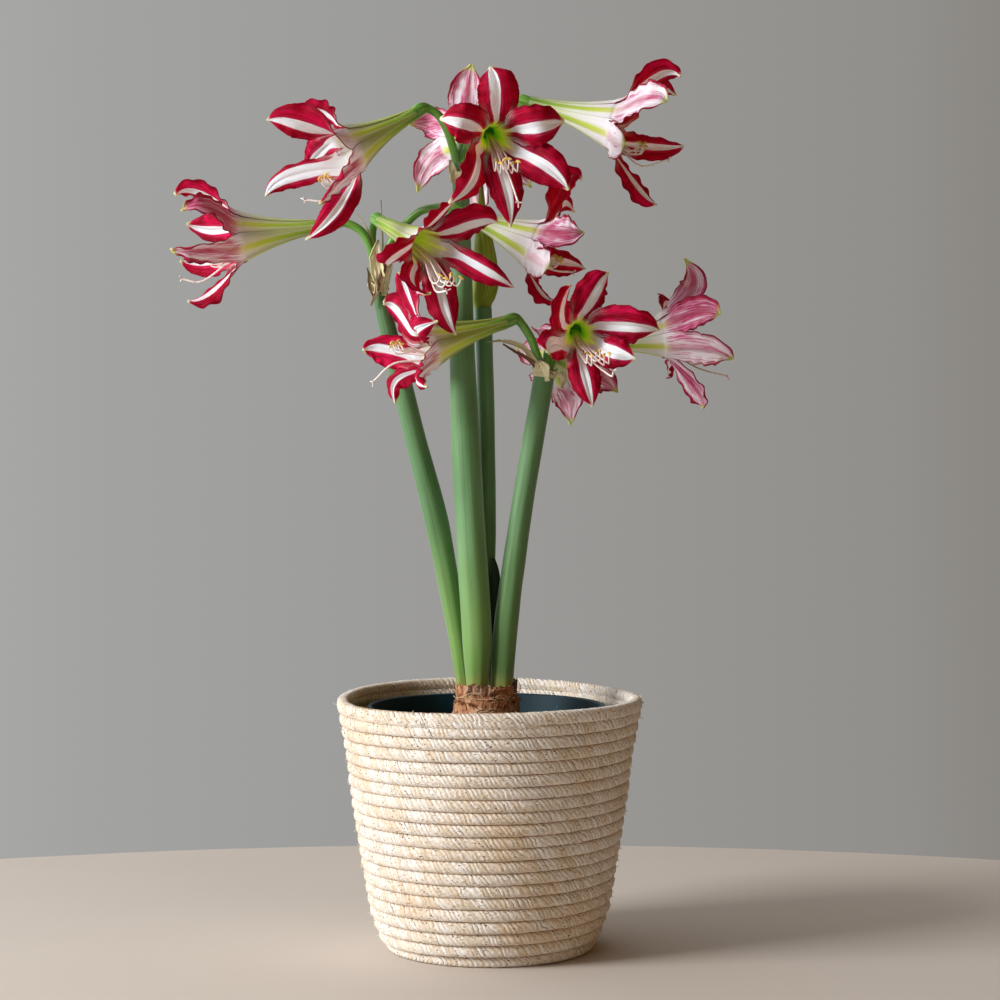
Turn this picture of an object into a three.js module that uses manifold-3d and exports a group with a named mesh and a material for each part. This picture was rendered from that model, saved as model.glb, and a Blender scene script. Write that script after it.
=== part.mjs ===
import * as THREE from 'three';
import Module from 'manifold-3d';

const wasm = await Module();
wasm.setup();

// Millimetres. +Z is up, +X is to the right, +Y is away from someone standing in front.
// The origin is the middle of the basket's underside.
const gap = 0.3;
const rope = 8.8;
const coilCount = 21;
const wallThickness = 8.4;
const basketSides = 20;
const potSides = 24;
const potRim = 88;
const potTop = 178.5;
const potWall = 1.6;
const potFloor = 9.6;
const soilTop = 150;
const neckTop = 192.5;
const bulbSides = 14;
const bladeThickness = 0.8;
const tubeFoot = 4.8;
const throatRadius = 17.5;
const stalkRadius = 3.3;
const ovaryRadius = 4.7;

// A place is typed as it is seen from 1.835 m in front of the pot: steps across and steps down on
// an upright grid of 0.74 mm squares through the middle of the pot, then mm behind that grid.
const gridStep = 0.74;
const eyeBack = 1835;
const eyeHeight = 382;
const eyeAcross = 7.8;
const gridMiddle = 500;
const gridHorizon = 430;
const upward = new THREE.Vector3(0, 0, 1);

function place(across, down, back) {
  const spread = gridStep * (1 + back / eyeBack);
  const x = eyeAcross + (across - gridMiddle) * spread;
  const z = eyeHeight - (down - gridHorizon) * spread;
  return new THREE.Vector3(x, back, z);
}

const group = new THREE.Group();

function addNode(name, geometry, colour, roughness) {
  const material = new THREE.MeshStandardMaterial({ color: colour, roughness: roughness, metalness: 0 });
  const mesh = new THREE.Mesh(geometry, material);
  mesh.name = name;
  group.add(mesh);
}

// A closed skin is gathered as corner points and triangles.
class Skin {
  constructor() {
    this.corners = [];
    this.triangles = [];
  }

  corner(point) {
    this.corners.push(point.x, point.y, point.z);
    return this.corners.length / 3 - 1;
  }

  point(index) {
    return new THREE.Vector3().fromArray(this.corners, 3 * index);
  }

  triangle(a, b, c) {
    this.triangles.push(a, b, c);
  }

  quad(a, b, c, d) {
    this.triangle(a, b, c);
    this.triangle(a, c, d);
  }

  geometry() {
    const geometry = new THREE.BufferGeometry();
    geometry.setAttribute('position', new THREE.Float32BufferAttribute(this.corners, 3));
    geometry.setIndex(this.triangles);
    return geometry;
  }

  solid() {
    const vertProperties = new Float32Array(this.corners);
    const triVerts = new Uint32Array(this.triangles);
    return new wasm.Manifold(new wasm.Mesh({ numProp: 3, vertProperties, triVerts }));
  }
}

function geometryOf(solid) {
  const mesh = solid.getMesh();
  const geometry = new THREE.BufferGeometry();
  geometry.setAttribute('position', new THREE.Float32BufferAttribute(mesh.vertProperties, 3));
  geometry.setIndex(Array.from(mesh.triVerts));
  return geometry;
}

function fuse(skins) {
  let whole = skins[0].solid();
  for (const skin of skins.slice(1)) {
    whole = whole.add(skin.solid());
  }
  return whole;
}

// A turned body: the outline runs from the axis out and back to the axis, anticlockwise in r, z.
function turned(outline, sides, centre) {
  const skin = new Skin();
  const rings = outline.map(([radius, height]) => {
    if (radius === 0) {
      return [skin.corner(new THREE.Vector3(centre.x, centre.y, height))];
    }
    const ring = [];
    for (let side = 0; side < sides; side += 1) {
      const angle = (2 * Math.PI * side) / sides;
      const x = centre.x + radius * Math.cos(angle);
      const y = centre.y + radius * Math.sin(angle);
      ring.push(skin.corner(new THREE.Vector3(x, y, height)));
    }
    return ring;
  });
  for (let row = 0; row < rings.length - 1; row += 1) {
    const low = rings[row];
    const high = rings[row + 1];
    for (let side = 0; side < sides; side += 1) {
      const next = (side + 1) % sides;
      if (low.length === 1) {
        skin.triangle(low[0], high[next], high[side]);
      } else if (high.length === 1) {
        skin.triangle(low[side], low[next], high[0]);
      } else {
        skin.quad(low[side], low[next], high[next], high[side]);
      }
    }
  }
  return skin;
}

function evenShares(steps) {
  const shares = [];
  for (let step = 0; step <= steps; step += 1) {
    shares.push(step / steps);
  }
  return shares;
}

// A round stem through a row of points, with flat ends. It has a ring at each share of its length.
function stem(points, radii, sides, shares, flatten = 1) {
  const curve = new THREE.CatmullRomCurve3(points, false, 'centripetal');
  const skin = new Skin();
  const rings = [];
  let across = new THREE.Vector3(1, 0, 0);
  for (const along of shares) {
    const centre = curve.getPoint(along);
    const tangent = curve.getTangent(along);
    across.addScaledVector(tangent, -across.dot(tangent)).normalize();
    const second = new THREE.Vector3().crossVectors(tangent, across);
    const reach = along * (radii.length - 1);
    const lower = Math.min(Math.floor(reach), radii.length - 2);
    const radius = THREE.MathUtils.lerp(radii[lower], radii[lower + 1], reach - lower);
    const ring = [];
    for (let side = 0; side < sides; side += 1) {
      const angle = (2 * Math.PI * side) / sides;
      const corner = centre.clone();
      corner.addScaledVector(across, radius * Math.cos(angle));
      corner.addScaledVector(second, radius * flatten * Math.sin(angle));
      ring.push(skin.corner(corner));
    }
    rings.push(ring);
  }
  const last = rings.length - 1;
  for (let row = 0; row < last; row += 1) {
    for (let side = 0; side < sides; side += 1) {
      const next = (side + 1) % sides;
      skin.quad(rings[row][side], rings[row][next], rings[row + 1][next], rings[row + 1][side]);
    }
  }
  for (let side = 1; side < sides - 1; side += 1) {
    skin.triangle(rings[0][0], rings[0][side + 1], rings[0][side]);
    skin.triangle(rings[last][0], rings[last][side], rings[last][side + 1]);
  }
  return skin;
}

// ---------------------------------------------------------------- basket and pot

const basketOutline = [
  [78, 4.5],
  [84, 15.6],
  [89.5, 34],
  [95.8, 71],
  [101.8, 108],
  [106.2, 145],
  [110.6, 167],
  [112.9, 182],
];

function basketRadius(height) {
  for (let row = 1; row < basketOutline.length; row += 1) {
    const [lowRadius, lowHeight] = basketOutline[row - 1];
    const [highRadius, highHeight] = basketOutline[row];
    if (height <= highHeight) {
      const share = (height - lowHeight) / (highHeight - lowHeight);
      return THREE.MathUtils.lerp(lowRadius, highRadius, share);
    }
  }
  return basketOutline[basketOutline.length - 1][0];
}

// Each turn of rope shows as a rounded ridge with a groove above it, outside and inside.
function basket() {
  const outline = [[0, 0], [68, 0], [74, 1.2]];
  for (let turn = 0; turn < coilCount; turn += 1) {
    const middle = 4.5 + rope * turn;
    outline.push([basketRadius(middle), middle]);
    if (turn < coilCount - 1) {
      outline.push([basketRadius(middle + rope / 2) - 1.9, middle + rope / 2]);
    }
  }
  const rim = basketRadius(182);
  const rimMiddle = 4.5 + rope * (coilCount - 1);
  outline.push([rim - 1.6, rimMiddle + 3.4]);
  outline.push([rim - 4.3, rimMiddle + 4.6]);
  outline.push([rim - 7, rimMiddle + 3.2]);
  for (let turn = coilCount - 1; turn > coilCount - 6; turn -= 1) {
    const middle = 4.5 + rope * turn;
    outline.push([basketRadius(middle) - wallThickness, middle]);
    outline.push([basketRadius(middle - rope / 2) - wallThickness + 1.6, middle - rope / 2]);
  }
  outline.push([basketRadius(71) - wallThickness, 71]);
  outline.push([basketRadius(34) - wallThickness, 34]);
  outline.push([basketRadius(15.6) - wallThickness, 12]);
  outline.push([72, 9]);
  outline.push([0, 9]);
  return turned(outline, basketSides, new THREE.Vector3(0, 0, 0));
}

addNode('basket', basket().geometry(), 0xd9c09a, 0.9);

const potMiddle = new THREE.Vector3(-2, 0, 0);
const potOutline = [
  [61, potFloor],
  [63, potFloor + 3],
  [79, potTop - 24],
  [84, potTop - 24],
  [86.4, potTop - 2.5],
  [potRim, potTop - 2.5],
  [potRim, potTop],
];

function innerPot() {
  const outline = [[0, potFloor]];
  outline.push(...potOutline);
  outline.push([potRim - 3.2, potTop]);
  outline.push([82.2, potTop - 22.2]);
  outline.push([77.2, potTop - 23.6]);
  outline.push([61.4, potFloor + 3.4]);
  outline.push([59.6, potFloor + potWall]);
  outline.push([0, potFloor + potWall]);
  return turned(outline, potSides, potMiddle);
}

addNode('inner_pot', innerPot().geometry(), 0x1f343b, 0.55);

// ---------------------------------------------------------------- bulb, soil, scapes

const bulbMiddle = new THREE.Vector3(-2, 0, 0);
const bulbOutline = [
  [18, 90],
  [34, 98],
  [43.5, 114],
  [46, 133],
  [42, 150],
  [33, 164],
  [26, 175],
  [24.4, 184],
  [24.8, 191],
];

function bulbBody(grow) {
  const outline = [[0, 90 - grow]];
  for (const [radius, height] of bulbOutline) {
    outline.push([radius + grow, height === 90 ? 90 - grow : height]);
  }
  outline.push([23.9 + grow, neckTop]);
  outline.push([0, neckTop]);
  return turned(outline, bulbSides, bulbMiddle);
}

const scapeFoot = 172;
const scapes = {
  left: {
    points: [[-18.6, 5.4, scapeFoot], [-19.2, 5.4, 192], place(440.3, 540, 6), place(415.3, 439, 6),
      place(398.8, 372, 6), place(388, 330, 6), place(376.5, 280, 6)],
    radii: [4.9, 5.1, 8.7, 8, 7.6, 6.5, 6],
    sides: 10,
    shares: [0, 0.167, 0.25, 0.333, 0.5, 0.667, 0.833, 1],
  },
  centre: {
    points: [[-8.8, -8.8, scapeFoot], [-9, -8.8, 192], place(477, 640, -8.5), place(471, 540, -6),
      place(465.2, 439, -3), place(462, 339, 0), place(461, 200, 2), place(459.5, 163, 2)],
    radii: [7.3, 7.6, 10.6, 10.8, 10.6, 9.2, 6.3, 6.4],
    sides: 12,
    shares: [0, 0.143, 0.214, 0.286, 0.43, 0.571, 0.714, 0.857, 1],
  },
  right: {
    points: [[8.9, -3.4, scapeFoot], [9.2, -3.4, 192], place(504.5, 640, -3.2), place(516.8, 540, -2),
      place(533.2, 439, 0), place(540, 400, 0), place(545, 367, 0)],
    radii: [7.9, 8.1, 8.9, 8.2, 8, 7.7, 7.3],
    sides: 10,
    shares: [0, 0.167, 0.25, 0.333, 0.5, 0.667, 0.833, 1],
  },
  back: {
    points: [[-1.5, 13, scapeFoot], [-1.7, 13, 192], place(487, 540, 14), place(486.5, 439, 15),
      place(484.8, 360, 17), place(482.8, 308, 18)],
    radii: [4.4, 4.6, 6.3, 6.4, 6.3, 6.4],
    sides: 8,
    shares: [0, 0.2, 0.3, 0.4, 0.6, 0.8, 1],
  },
};

function asVector(point) {
  return Array.isArray(point) ? new THREE.Vector3(...point) : point;
}

function scapeBody(scape) {
  return stem(scape.points.map(asVector), scape.radii, scape.sides, scape.shares);
}

// The hole that a scape or leaf stands in is cut down to its flat foot.
function footHole(middle, radius, sides) {
  const outline = [[0, scapeFoot - gap], [radius, scapeFoot - gap], [radius, neckTop + 3], [0, neckTop + 3]];
  return turned(outline, sides, middle).solid();
}

const leafPlace = new THREE.Vector3(-0.3, 5.8, 0);
let bulb = bulbBody(0).solid();
bulb = bulb.subtract(footHole(new THREE.Vector3(-18.9, 5.4, 0), 5.9, 10));
bulb = bulb.subtract(footHole(new THREE.Vector3(-8.9, -8.8, 0), 8.3, 12));
bulb = bulb.subtract(footHole(new THREE.Vector3(9.05, -3.4, 0), 8.7, 10));
bulb = bulb.subtract(footHole(new THREE.Vector3(-1.6, 13, 0), 5.2, 8));
addNode('bulb', geometryOf(bulb), 0x8a5a3c, 0.7);

function soil() {
  const outline = [
    [0, potFloor + potWall + gap],
    [59.2, potFloor + potWall + gap],
    [61, potFloor + 3.8],
    [75.9, soilTop - 2],
    [72, soilTop],
    [0, soilTop],
  ];
  return turned(outline, potSides, potMiddle).solid().subtract(bulbBody(0.7).solid());
}

addNode('soil', geometryOf(soil()), 0x2f241b, 1);

// ---------------------------------------------------------------- flowers

// Petals go clockwise from the top one, looking into the open flower. Each blade passes its "mid"
// and ends at its "tip"; "wide" is its width, "blunt" broadens its end, "twist" turns its face and
// "hook" curls its end inwards. The petals part at the throat, where "mouth" is the tube's radius.
const flowers = {
  left_1: {
    stalk: [[374.6, 283, 4.6], [371.5, 252, 4], [362, 232, 3], [346, 223.5, 3]],
    base: [325, 225.5, 3],
    throat: [245, 237, 0],
    petals: [
      { mid: [211, 197, -2], tip: [174, 194, -4], wide: 25, twist: 34 },
      { mid: [211, 209, -34], tip: [181, 210, -38], wide: 23, twist: 16, hook: 5 },
      { mid: [210, 251, -36], tip: [170, 251, -40], wide: 20, twist: -34 },
      { mid: [221, 286, -3], tip: [188, 302, -3], wide: 20, twist: -38 },
      { mid: [212, 262, 32], tip: [180, 261, 38], wide: 22 },
      { mid: [214, 230, 34], tip: [187, 223, 40], wide: 25, blunt: 0.3 },
    ],
    anthers: [211, 259, -2],
    style: [183, 279, -2],
  },
  left_2: {
    stalk: [[377.6, 283, 4], [377, 258, 9], [372, 240, 18]],
    base: [381, 222, 2],
    throat: [426, 246, -50],
    turn: -24,
    mouth: 13,
    petals: [
      { mid: [440, 214, -70], tip: [452, 201, -74], wide: 24, blunt: 0.2 },
      { mid: [464, 224, -60], tip: [497, 221, -58], wide: 27, blunt: 0.2 },
      { mid: [468, 263, -58], tip: [512, 286, -54], wide: 21 },
      { mid: [441, 295, -62], tip: [455, 334, -62], wide: 23 },
      { mid: [411, 281, -76], tip: [430, 296, -84], wide: 19, blunt: 0.6, slim: 0.5 },
      { mid: [404, 249, -64], tip: [388, 263, -56], wide: 23, blunt: 0.6, slim: 0.5 },
    ],
    anthers: [450, 280, -86],
    style: [446, 291, -92],
  },
  left_3: {
    stalk: [[379.2, 283, 8.2], [389, 246, 7], [404, 226, 1], [421, 211, -8], [440, 207.5, -15]],
    base: [462, 213, -17],
    throat: [531, 243, -21],
    petals: [
      { mid: [557, 197, -24], tip: [584, 176, -26], wide: 25, twist: -40 },
      { mid: [558, 208, 14], tip: [573, 212, 34], wide: 23 },
      { mid: [562, 262, 10], tip: [584, 270, 18], wide: 21 },
      { mid: [536, 287, -24], tip: [555, 303, -25], wide: 16, twist: 38 },
      { mid: [536, 260, -45], tip: [548, 268, -51], wide: 25, blunt: 1, slim: 0.8 },
      { mid: [556, 233, -48], tip: [584, 231, -50], wide: 30, blunt: 0.05, slim: 0.8 },
    ],
    anthers: [556, 262, -20],
    style: [572, 272, -20],
  },
  centre_1: {
    stalk: [[457.6, 167, 0.5], [453, 148, 0], [447, 130, -1], [438, 115, -2]],
    base: [414, 114, -8],
    throat: [352, 148, -28],
    petals: [
      { mid: [335, 120, -30], tip: [291, 109, -30], wide: 17, twist: 30 },
      { mid: [308, 124, -56], tip: [268, 120, -54], wide: 26, twist: 130 },
      { mid: [338, 182, -58], tip: [322, 205, -70], wide: 20, twist: -30 },
      { mid: [345, 199, -47], tip: [307, 239, -48], wide: 20, twist: -75 },
      { mid: [306, 172, -14], tip: [267, 197, -14], wide: 19, slim: 0.8 },
      { mid: [320, 153, 8], tip: [304, 166, 22], wide: 24, slim: 0.8 },
    ],
    anthers: [326, 181, -34],
    style: [306, 200, -38],
    styleBend: [327, 200, -38],
  },
  centre_2: {
    stalk: [[461.6, 167, -0.4], [465, 152, 6]],
    base: [488, 133, -7],
    throat: [496, 139, -60],
    mouth: 13,
    petals: [
      { mid: [498.5, 92, -79], tip: [491, 70, -72], wide: 27, blunt: 1 },
      { mid: [533, 128, -88], tip: [562, 121, -78], wide: 30, blunt: 1, slim: 0.78 },
      { mid: [541, 163, -81], tip: [568, 189, -84], wide: 27, blunt: 0.3, slim: 0.78 },
      { mid: [506, 186, -84], tip: [510, 226, -82], wide: 25 },
      { mid: [476, 171, -86], tip: [449, 202, -94], wide: 24, blunt: 0.1, slim: 0.8 },
      { mid: [466, 124, -88], tip: [442, 119, -80], wide: 27, blunt: 0.8, slim: 0.8 },
    ],
    anthers: [507, 165, -92],
    style: [518, 202, -102],
    styleBend: [508, 174, -82],
  },
  centre_3: {
    stalk: [[462, 167, 4], [470, 140, 8], [490, 116, 10], [508, 103, 9]],
    base: [530, 103, 6],
    throat: [610, 124, -2],
    petals: [
      { mid: [643, 84, -2], tip: [682, 76, -4], wide: 24, twist: -46 },
      { mid: [650, 90, 30], tip: [676, 96, 38], wide: 22 },
      { mid: [646, 147, 30], tip: [684, 147, 38], wide: 20 },
      { mid: [631, 180, -2], tip: [656, 206, -4], wide: 20, twist: 42 },
      { mid: [613, 141, -36], tip: [625, 144, -44], wide: 25, blunt: 1 },
      { mid: [640, 100, -34], tip: [667, 101, -46], wide: 26, blunt: 0.8 },
    ],
    anthers: [641, 148, -2],
    style: [667, 160, -2],
    styleBend: [641, 166, -2],
  },
  centre_4: {
    stalk: [[458.2, 167, 4.5], [458.7, 156, 6]],
    base: [463, 146, 21],
    throat: [466, 139, 66],
    petals: [
      { mid: [467, 92, 86], tip: [471, 66, 80], wide: 27, blunt: 0.5 },
      { mid: [431, 124, 88], tip: [410, 124, 82], wide: 24 },
      { mid: [436, 157, 88], tip: [418, 190, 84], wide: 22, blunt: 0.2 },
      { mid: [473, 184, 82], tip: [477, 216, 76], wide: 21 },
      { mid: [507, 163, 86], tip: [530, 186, 88], wide: 23 },
      { mid: [505, 116, 88], tip: [524, 104, 94], wide: 23 },
    ],
    anthers: [468, 160, 96],
    style: [468, 176, 108],
  },
  right_1: {
    stalk: [[542.2, 371, -1.8], [536, 352, -4], [528.5, 334, -6]],
    base: [505, 322.5, -12],
    throat: [430, 344, -36],
    petals: [
      { mid: [411, 300, -36], tip: [398, 271, -34], wide: 17, twist: 60 },
      { mid: [417, 331, -74], tip: [438, 321, -88], wide: 20 },
      { mid: [418, 376, -68], tip: [429, 386, -84], wide: 17 },
      { mid: [402, 377, -40], tip: [396, 403, -42], wide: 18, twist: -50 },
      { mid: [396, 352, -14], tip: [363, 352, -12], wide: 24, blunt: 0.2, slim: 0.85 },
      { mid: [401, 314, -12], tip: [383, 303, -6], wide: 27, blunt: 0.4, slim: 0.85 },
    ],
    anthers: [397, 347, -42],
    style: [374, 381, -46],
    styleBend: [393, 364, -45],
  },
  right_2: {
    stalk: [[546.2, 371, -2.6], [548, 352, 3], [556, 338, 8]],
    base: [575, 330, -7],
    throat: [580, 335, -58],
    mouth: 12.5,
    petals: [
      { mid: [591, 294, -76], tip: [606, 273, -73], wide: 23, blunt: 0.5 },
      { mid: [623, 326, -80], tip: [658, 329, -76], wide: 30, blunt: 0.3, slim: 0.72 },
      { mid: [612, 352, -84], tip: [635, 359, -92], wide: 22, blunt: 0.6, slim: 0.78 },
      { mid: [586, 379, -80], tip: [592, 406, -82], wide: 22, blunt: 0.2 },
      { mid: [554, 344, -80], tip: [546, 354, -92], wide: 22, blunt: 0.8 },
      { mid: [561, 311, -83], tip: [569, 285, -82], wide: 22, blunt: 0.3 },
    ],
    anthers: [598, 357, -98],
    style: [613, 372, -104],
  },
  right_3: {
    stalk: [[547.6, 371, 2], [556, 355, 4], [575, 347.5, 3]],
    base: [598, 346, 0],
    throat: [659, 337, 6],
    mouth: 15,
    petals: [
      { mid: [691, 292, 12], tip: [684, 259, 14], wide: 22, twist: 55 },
      { mid: [662, 309, 44], tip: [671, 303, 64], wide: 20 },
      { mid: [671, 362, 40], tip: [666, 373, 60], wide: 18 },
      { mid: [680, 371, 6], tip: [702, 408, 4], wide: 18, twist: -45 },
      { mid: [694, 347, -19], tip: [732, 361, -22], wide: 26, blunt: 0.2 },
      { mid: [692, 314, -14], tip: [720, 314, -20], wide: 25, blunt: 0.6 },
    ],
    anthers: [702, 348, 12],
    style: [726, 376, 12],
    styleBend: [700, 369, 12],
  },
  right_4: {
    stalk: [[543.6, 371, 3.4], [546.5, 362, 5]],
    base: [552, 358, 22],
    throat: [560, 363, 70],
    petals: [
      { mid: [551, 332, 92], tip: [535, 330, 112], wide: 22 },
      { mid: [533, 352, 96], tip: [516, 347, 108], wide: 22 },
      { mid: [540, 384, 92], tip: [531, 379, 112], wide: 20 },
      { mid: [567, 395, 89], tip: [570, 424, 88], wide: 24 },
      { mid: [595, 377, 85], tip: [617, 392, 94], wide: 22 },
      { mid: [588, 345, 94], tip: [600, 332, 108], wide: 22 },
    ],
    anthers: [566, 382, 100],
    style: [568, 395, 112],
  },
};

const pointedShares = [0, 0.84, 0.9, 1, 0.86, 0.5, 0.08];
const bluntShares = [0, 0.84, 0.94, 1.06, 1.02, 0.82, 0.2];
const cups = [0, 0, 2.6, 1, -0.8, -1.2, -1.2];
const stationShares = [0, 0.16, 0.34, 0.52, 0.7, 0.87, 1];
const columnTurns = [-30, -10, 10, 30];
const columnPlaces = [-1, -0.34, 0.34, 1];

function flowerFrame(flower) {
  const base = place(...flower.base);
  const throat = place(...flower.throat);
  const axis = throat.clone().sub(base);
  const length = axis.length();
  axis.normalize();
  const top = upward.clone().addScaledVector(axis, -upward.dot(axis)).normalize();
  const side = new THREE.Vector3().crossVectors(top, axis);
  const outward = (degrees) => {
    const angle = THREE.MathUtils.degToRad(degrees + (flower.turn || 0));
    const direction = top.clone().multiplyScalar(Math.cos(angle));
    return direction.addScaledVector(side, Math.sin(angle));
  };
  return { base, throat, axis, length, outward, top, side, mouth: flower.mouth || throatRadius };
}

// The middle line of one petal, as a curve that leaves the throat along its wall.
function petalSpine(frame, petal, turn) {
  const out = frame.outward(turn);
  const start = frame.throat.clone().addScaledVector(out, frame.mouth);
  const leave = frame.axis.clone().multiplyScalar(0.8).addScaledVector(out, 0.6).normalize();
  const mid = place(...petal.mid);
  const tip = place(...petal.tip);
  const near = start.distanceTo(mid);
  const share = THREE.MathUtils.clamp(near / (near + mid.distanceTo(tip)), 0.36, 0.64);
  const first = start.clone().addScaledVector(leave, Math.min(15, 0.42 * near));
  const rest = 1 - share;
  const second = mid.clone();
  second.addScaledVector(start, -(rest ** 3));
  second.addScaledVector(first, -3 * rest * rest * share);
  second.addScaledVector(tip, -(share ** 3));
  second.multiplyScalar(1 / (3 * rest * share * share));
  return new THREE.CubicBezierCurve3(start, first, second, tip);
}

function petalStations(frame, petal, number) {
  const turn = 60 * number;
  const curve = petalSpine(frame, petal, turn);
  const outer = number % 2 === 0;
  const out = frame.outward(turn);
  let across = frame.outward(turn + 90);
  const stations = [];
  for (let row = 1; row < stationShares.length; row += 1) {
    const along = stationShares[row];
    const centre = curve.getPoint(along);
    const tangent = curve.getTangent(along);
    across = across.clone().addScaledVector(tangent, -across.dot(tangent)).normalize();
    const turned = THREE.MathUtils.smoothstep(along, 0, 0.75);
    const twist = THREE.MathUtils.degToRad((petal.twist || 0) * turned);
    const level = across.clone().applyAxisAngle(tangent, twist);
    const face = new THREE.Vector3().crossVectors(level, tangent);
    const lapped = 1.5 * Math.max(0, 1 - along / 0.6) * (outer ? 1 : -1);
    centre.addScaledVector(out, lapped);
    const hooked = Math.max(0, (along - 0.7) / 0.3) ** 2 * (petal.hook || 0);
    centre.addScaledVector(face, hooked);
    const slim = row === 2 ? petal.slim || 1 : 1;
    const broad = THREE.MathUtils.lerp(pointedShares[row], bluntShares[row], petal.blunt || 0.1);
    const wide = petal.wide * broad * slim + (row === stationShares.length - 1 ? 0.6 : 0);
    const wave = (row % 2 === 0 ? 1 : -1) * (petal.wave || 1.1) * (row < 6 ? 1 : 0);
    const apart = outer ? -1.1 : 1.1;
    const start = curve.getPoint(0).distanceTo(centre);
    const points = columnPlaces.map((share, column) => {
      if (row === 1) {
        const spoke = frame.outward(turn + 0.9 * columnTurns[column]);
        const point = frame.throat.clone().addScaledVector(spoke, frame.mouth + 0.6 * start + lapped);
        return point.addScaledVector(frame.axis, 0.8 * start);
      }
      const point = centre.clone().addScaledVector(level, share * wide / 2);
      const rim = Math.abs(share) === 1 ? 1 : 0;
      const bend = cups[row] * share * share * (wide / petal.wide);
      const ruffle = row <= 3 ? apart : wave * Math.sign(share);
      point.addScaledVector(face, bend + rim * ruffle);
      return point;
    });
    stations.push({ points, face });
  }
  return stations;
}

// Tube and six petals are one thin skin: outer face, inner face and the rim that joins them.
function perianth(flower) {
  const frame = flowerFrame(flower);
  const skin = new Skin();
  const half = bladeThickness / 2;
  const waist = THREE.MathUtils.lerp(tubeFoot, frame.mouth, 0.31);
  const tubeRows = [[0, tubeFoot], [0.52, waist], [1, frame.mouth]];
  const outside = [];
  const inside = [];
  for (const [share, radius] of tubeRows) {
    const outRing = [];
    const inRing = [];
    const lift = share === 0 ? 1.4 : 0;
    for (let column = 0; column < 18; column += 1) {
      const direction = frame.outward(column * 20 - 30);
      const centre = frame.base.clone().addScaledVector(frame.axis, share * frame.length);
      outRing.push(skin.corner(centre.clone().addScaledVector(direction, radius + half)));
      const inner = centre.clone().addScaledVector(frame.axis, lift);
      inRing.push(skin.corner(inner.addScaledVector(direction, radius - half)));
    }
    outside.push(outRing);
    inside.push(inRing);
  }
  for (let row = 0; row < 2; row += 1) {
    for (let column = 0; column < 18; column += 1) {
      const next = (column + 1) % 18;
      const [low, high] = [outside[row], outside[row + 1]];
      skin.quad(low[next], low[column], high[column], high[next]);
      const [lowIn, highIn] = [inside[row], inside[row + 1]];
      skin.quad(lowIn[column], lowIn[next], highIn[next], highIn[column]);
    }
  }
  for (let column = 1; column < 17; column += 1) {
    skin.triangle(outside[0][0], outside[0][column], outside[0][column + 1]);
    skin.triangle(inside[0][0], inside[0][column + 1], inside[0][column]);
  }
  flower.petals.forEach((petal, number) => {
    let outRow = columnTurns.map((turn, column) => outside[2][(number * 3 + column) % 18]);
    let inRow = columnTurns.map((turn, column) => inside[2][(number * 3 + column) % 18]);
    for (const station of petalStations(frame, petal, number)) {
      const face = station.face;
      const outNext = station.points.map((p) => skin.corner(p.clone().addScaledVector(face, -half)));
      const inNext = station.points.map((p) => skin.corner(p.clone().addScaledVector(face, half)));
      for (let column = 0; column < 3; column += 1) {
        skin.quad(outRow[column + 1], outRow[column], outNext[column], outNext[column + 1]);
        skin.triangle(inRow[column], inRow[column + 1], inNext[column]);
        skin.triangle(inRow[column + 1], inNext[column + 1], inNext[column]);
      }
      skin.quad(outRow[0], inRow[0], inNext[0], outNext[0]);
      skin.quad(inRow[3], outRow[3], outNext[3], inNext[3]);
      outRow = outNext;
      inRow = inNext;
    }
    for (let column = 0; column < 3; column += 1) {
      skin.quad(outRow[column + 1], outRow[column], inRow[column], inRow[column + 1]);
    }
  });
  return skin;
}

for (const [name, flower] of Object.entries(flowers)) {
  addNode(`flower_${name}`, perianth(flower).geometry(), 0xa50f32, 0.5);
}

// Each stalk bends over and swells into the ovary that carries its flower.
function stalkBody(flower) {
  const frame = flowerFrame(flower);
  const points = flower.stalk.map((spot) => place(...spot));
  points.push(frame.base.clone().addScaledVector(frame.axis, -9));
  points.push(frame.base.clone().addScaledVector(frame.axis, -gap));
  const radii = flower.stalk.map(() => stalkRadius);
  radii.push(ovaryRadius - 0.2, ovaryRadius);
  return stem(points, radii, 6, evenShares(flower.stalk.length + 3));
}

for (const [name, scape] of Object.entries(scapes)) {
  const skins = [scapeBody(scape)];
  for (const [flowerName, flower] of Object.entries(flowers)) {
    if (flowerName.startsWith(name)) {
      skins.push(stalkBody(flower));
    }
  }
  addNode(`scape_${name}`, geometryOf(fuse(skins)), 0x5c8453, 0.5);
}

// Six filaments and the style rise from one foot inside the tube, lie along the lower side of the
// throat and fan out towards the mouth. A filament ends in a loose anther.
const fanPlaces = [0, 1.5, 2.5, 0.5, -0.5, -2.5, -1.5];
const fanHeights = [0, -1.6, -0.2, 1.2, 1.2, -0.2, -1.6];
const fanStep = 3;

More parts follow.
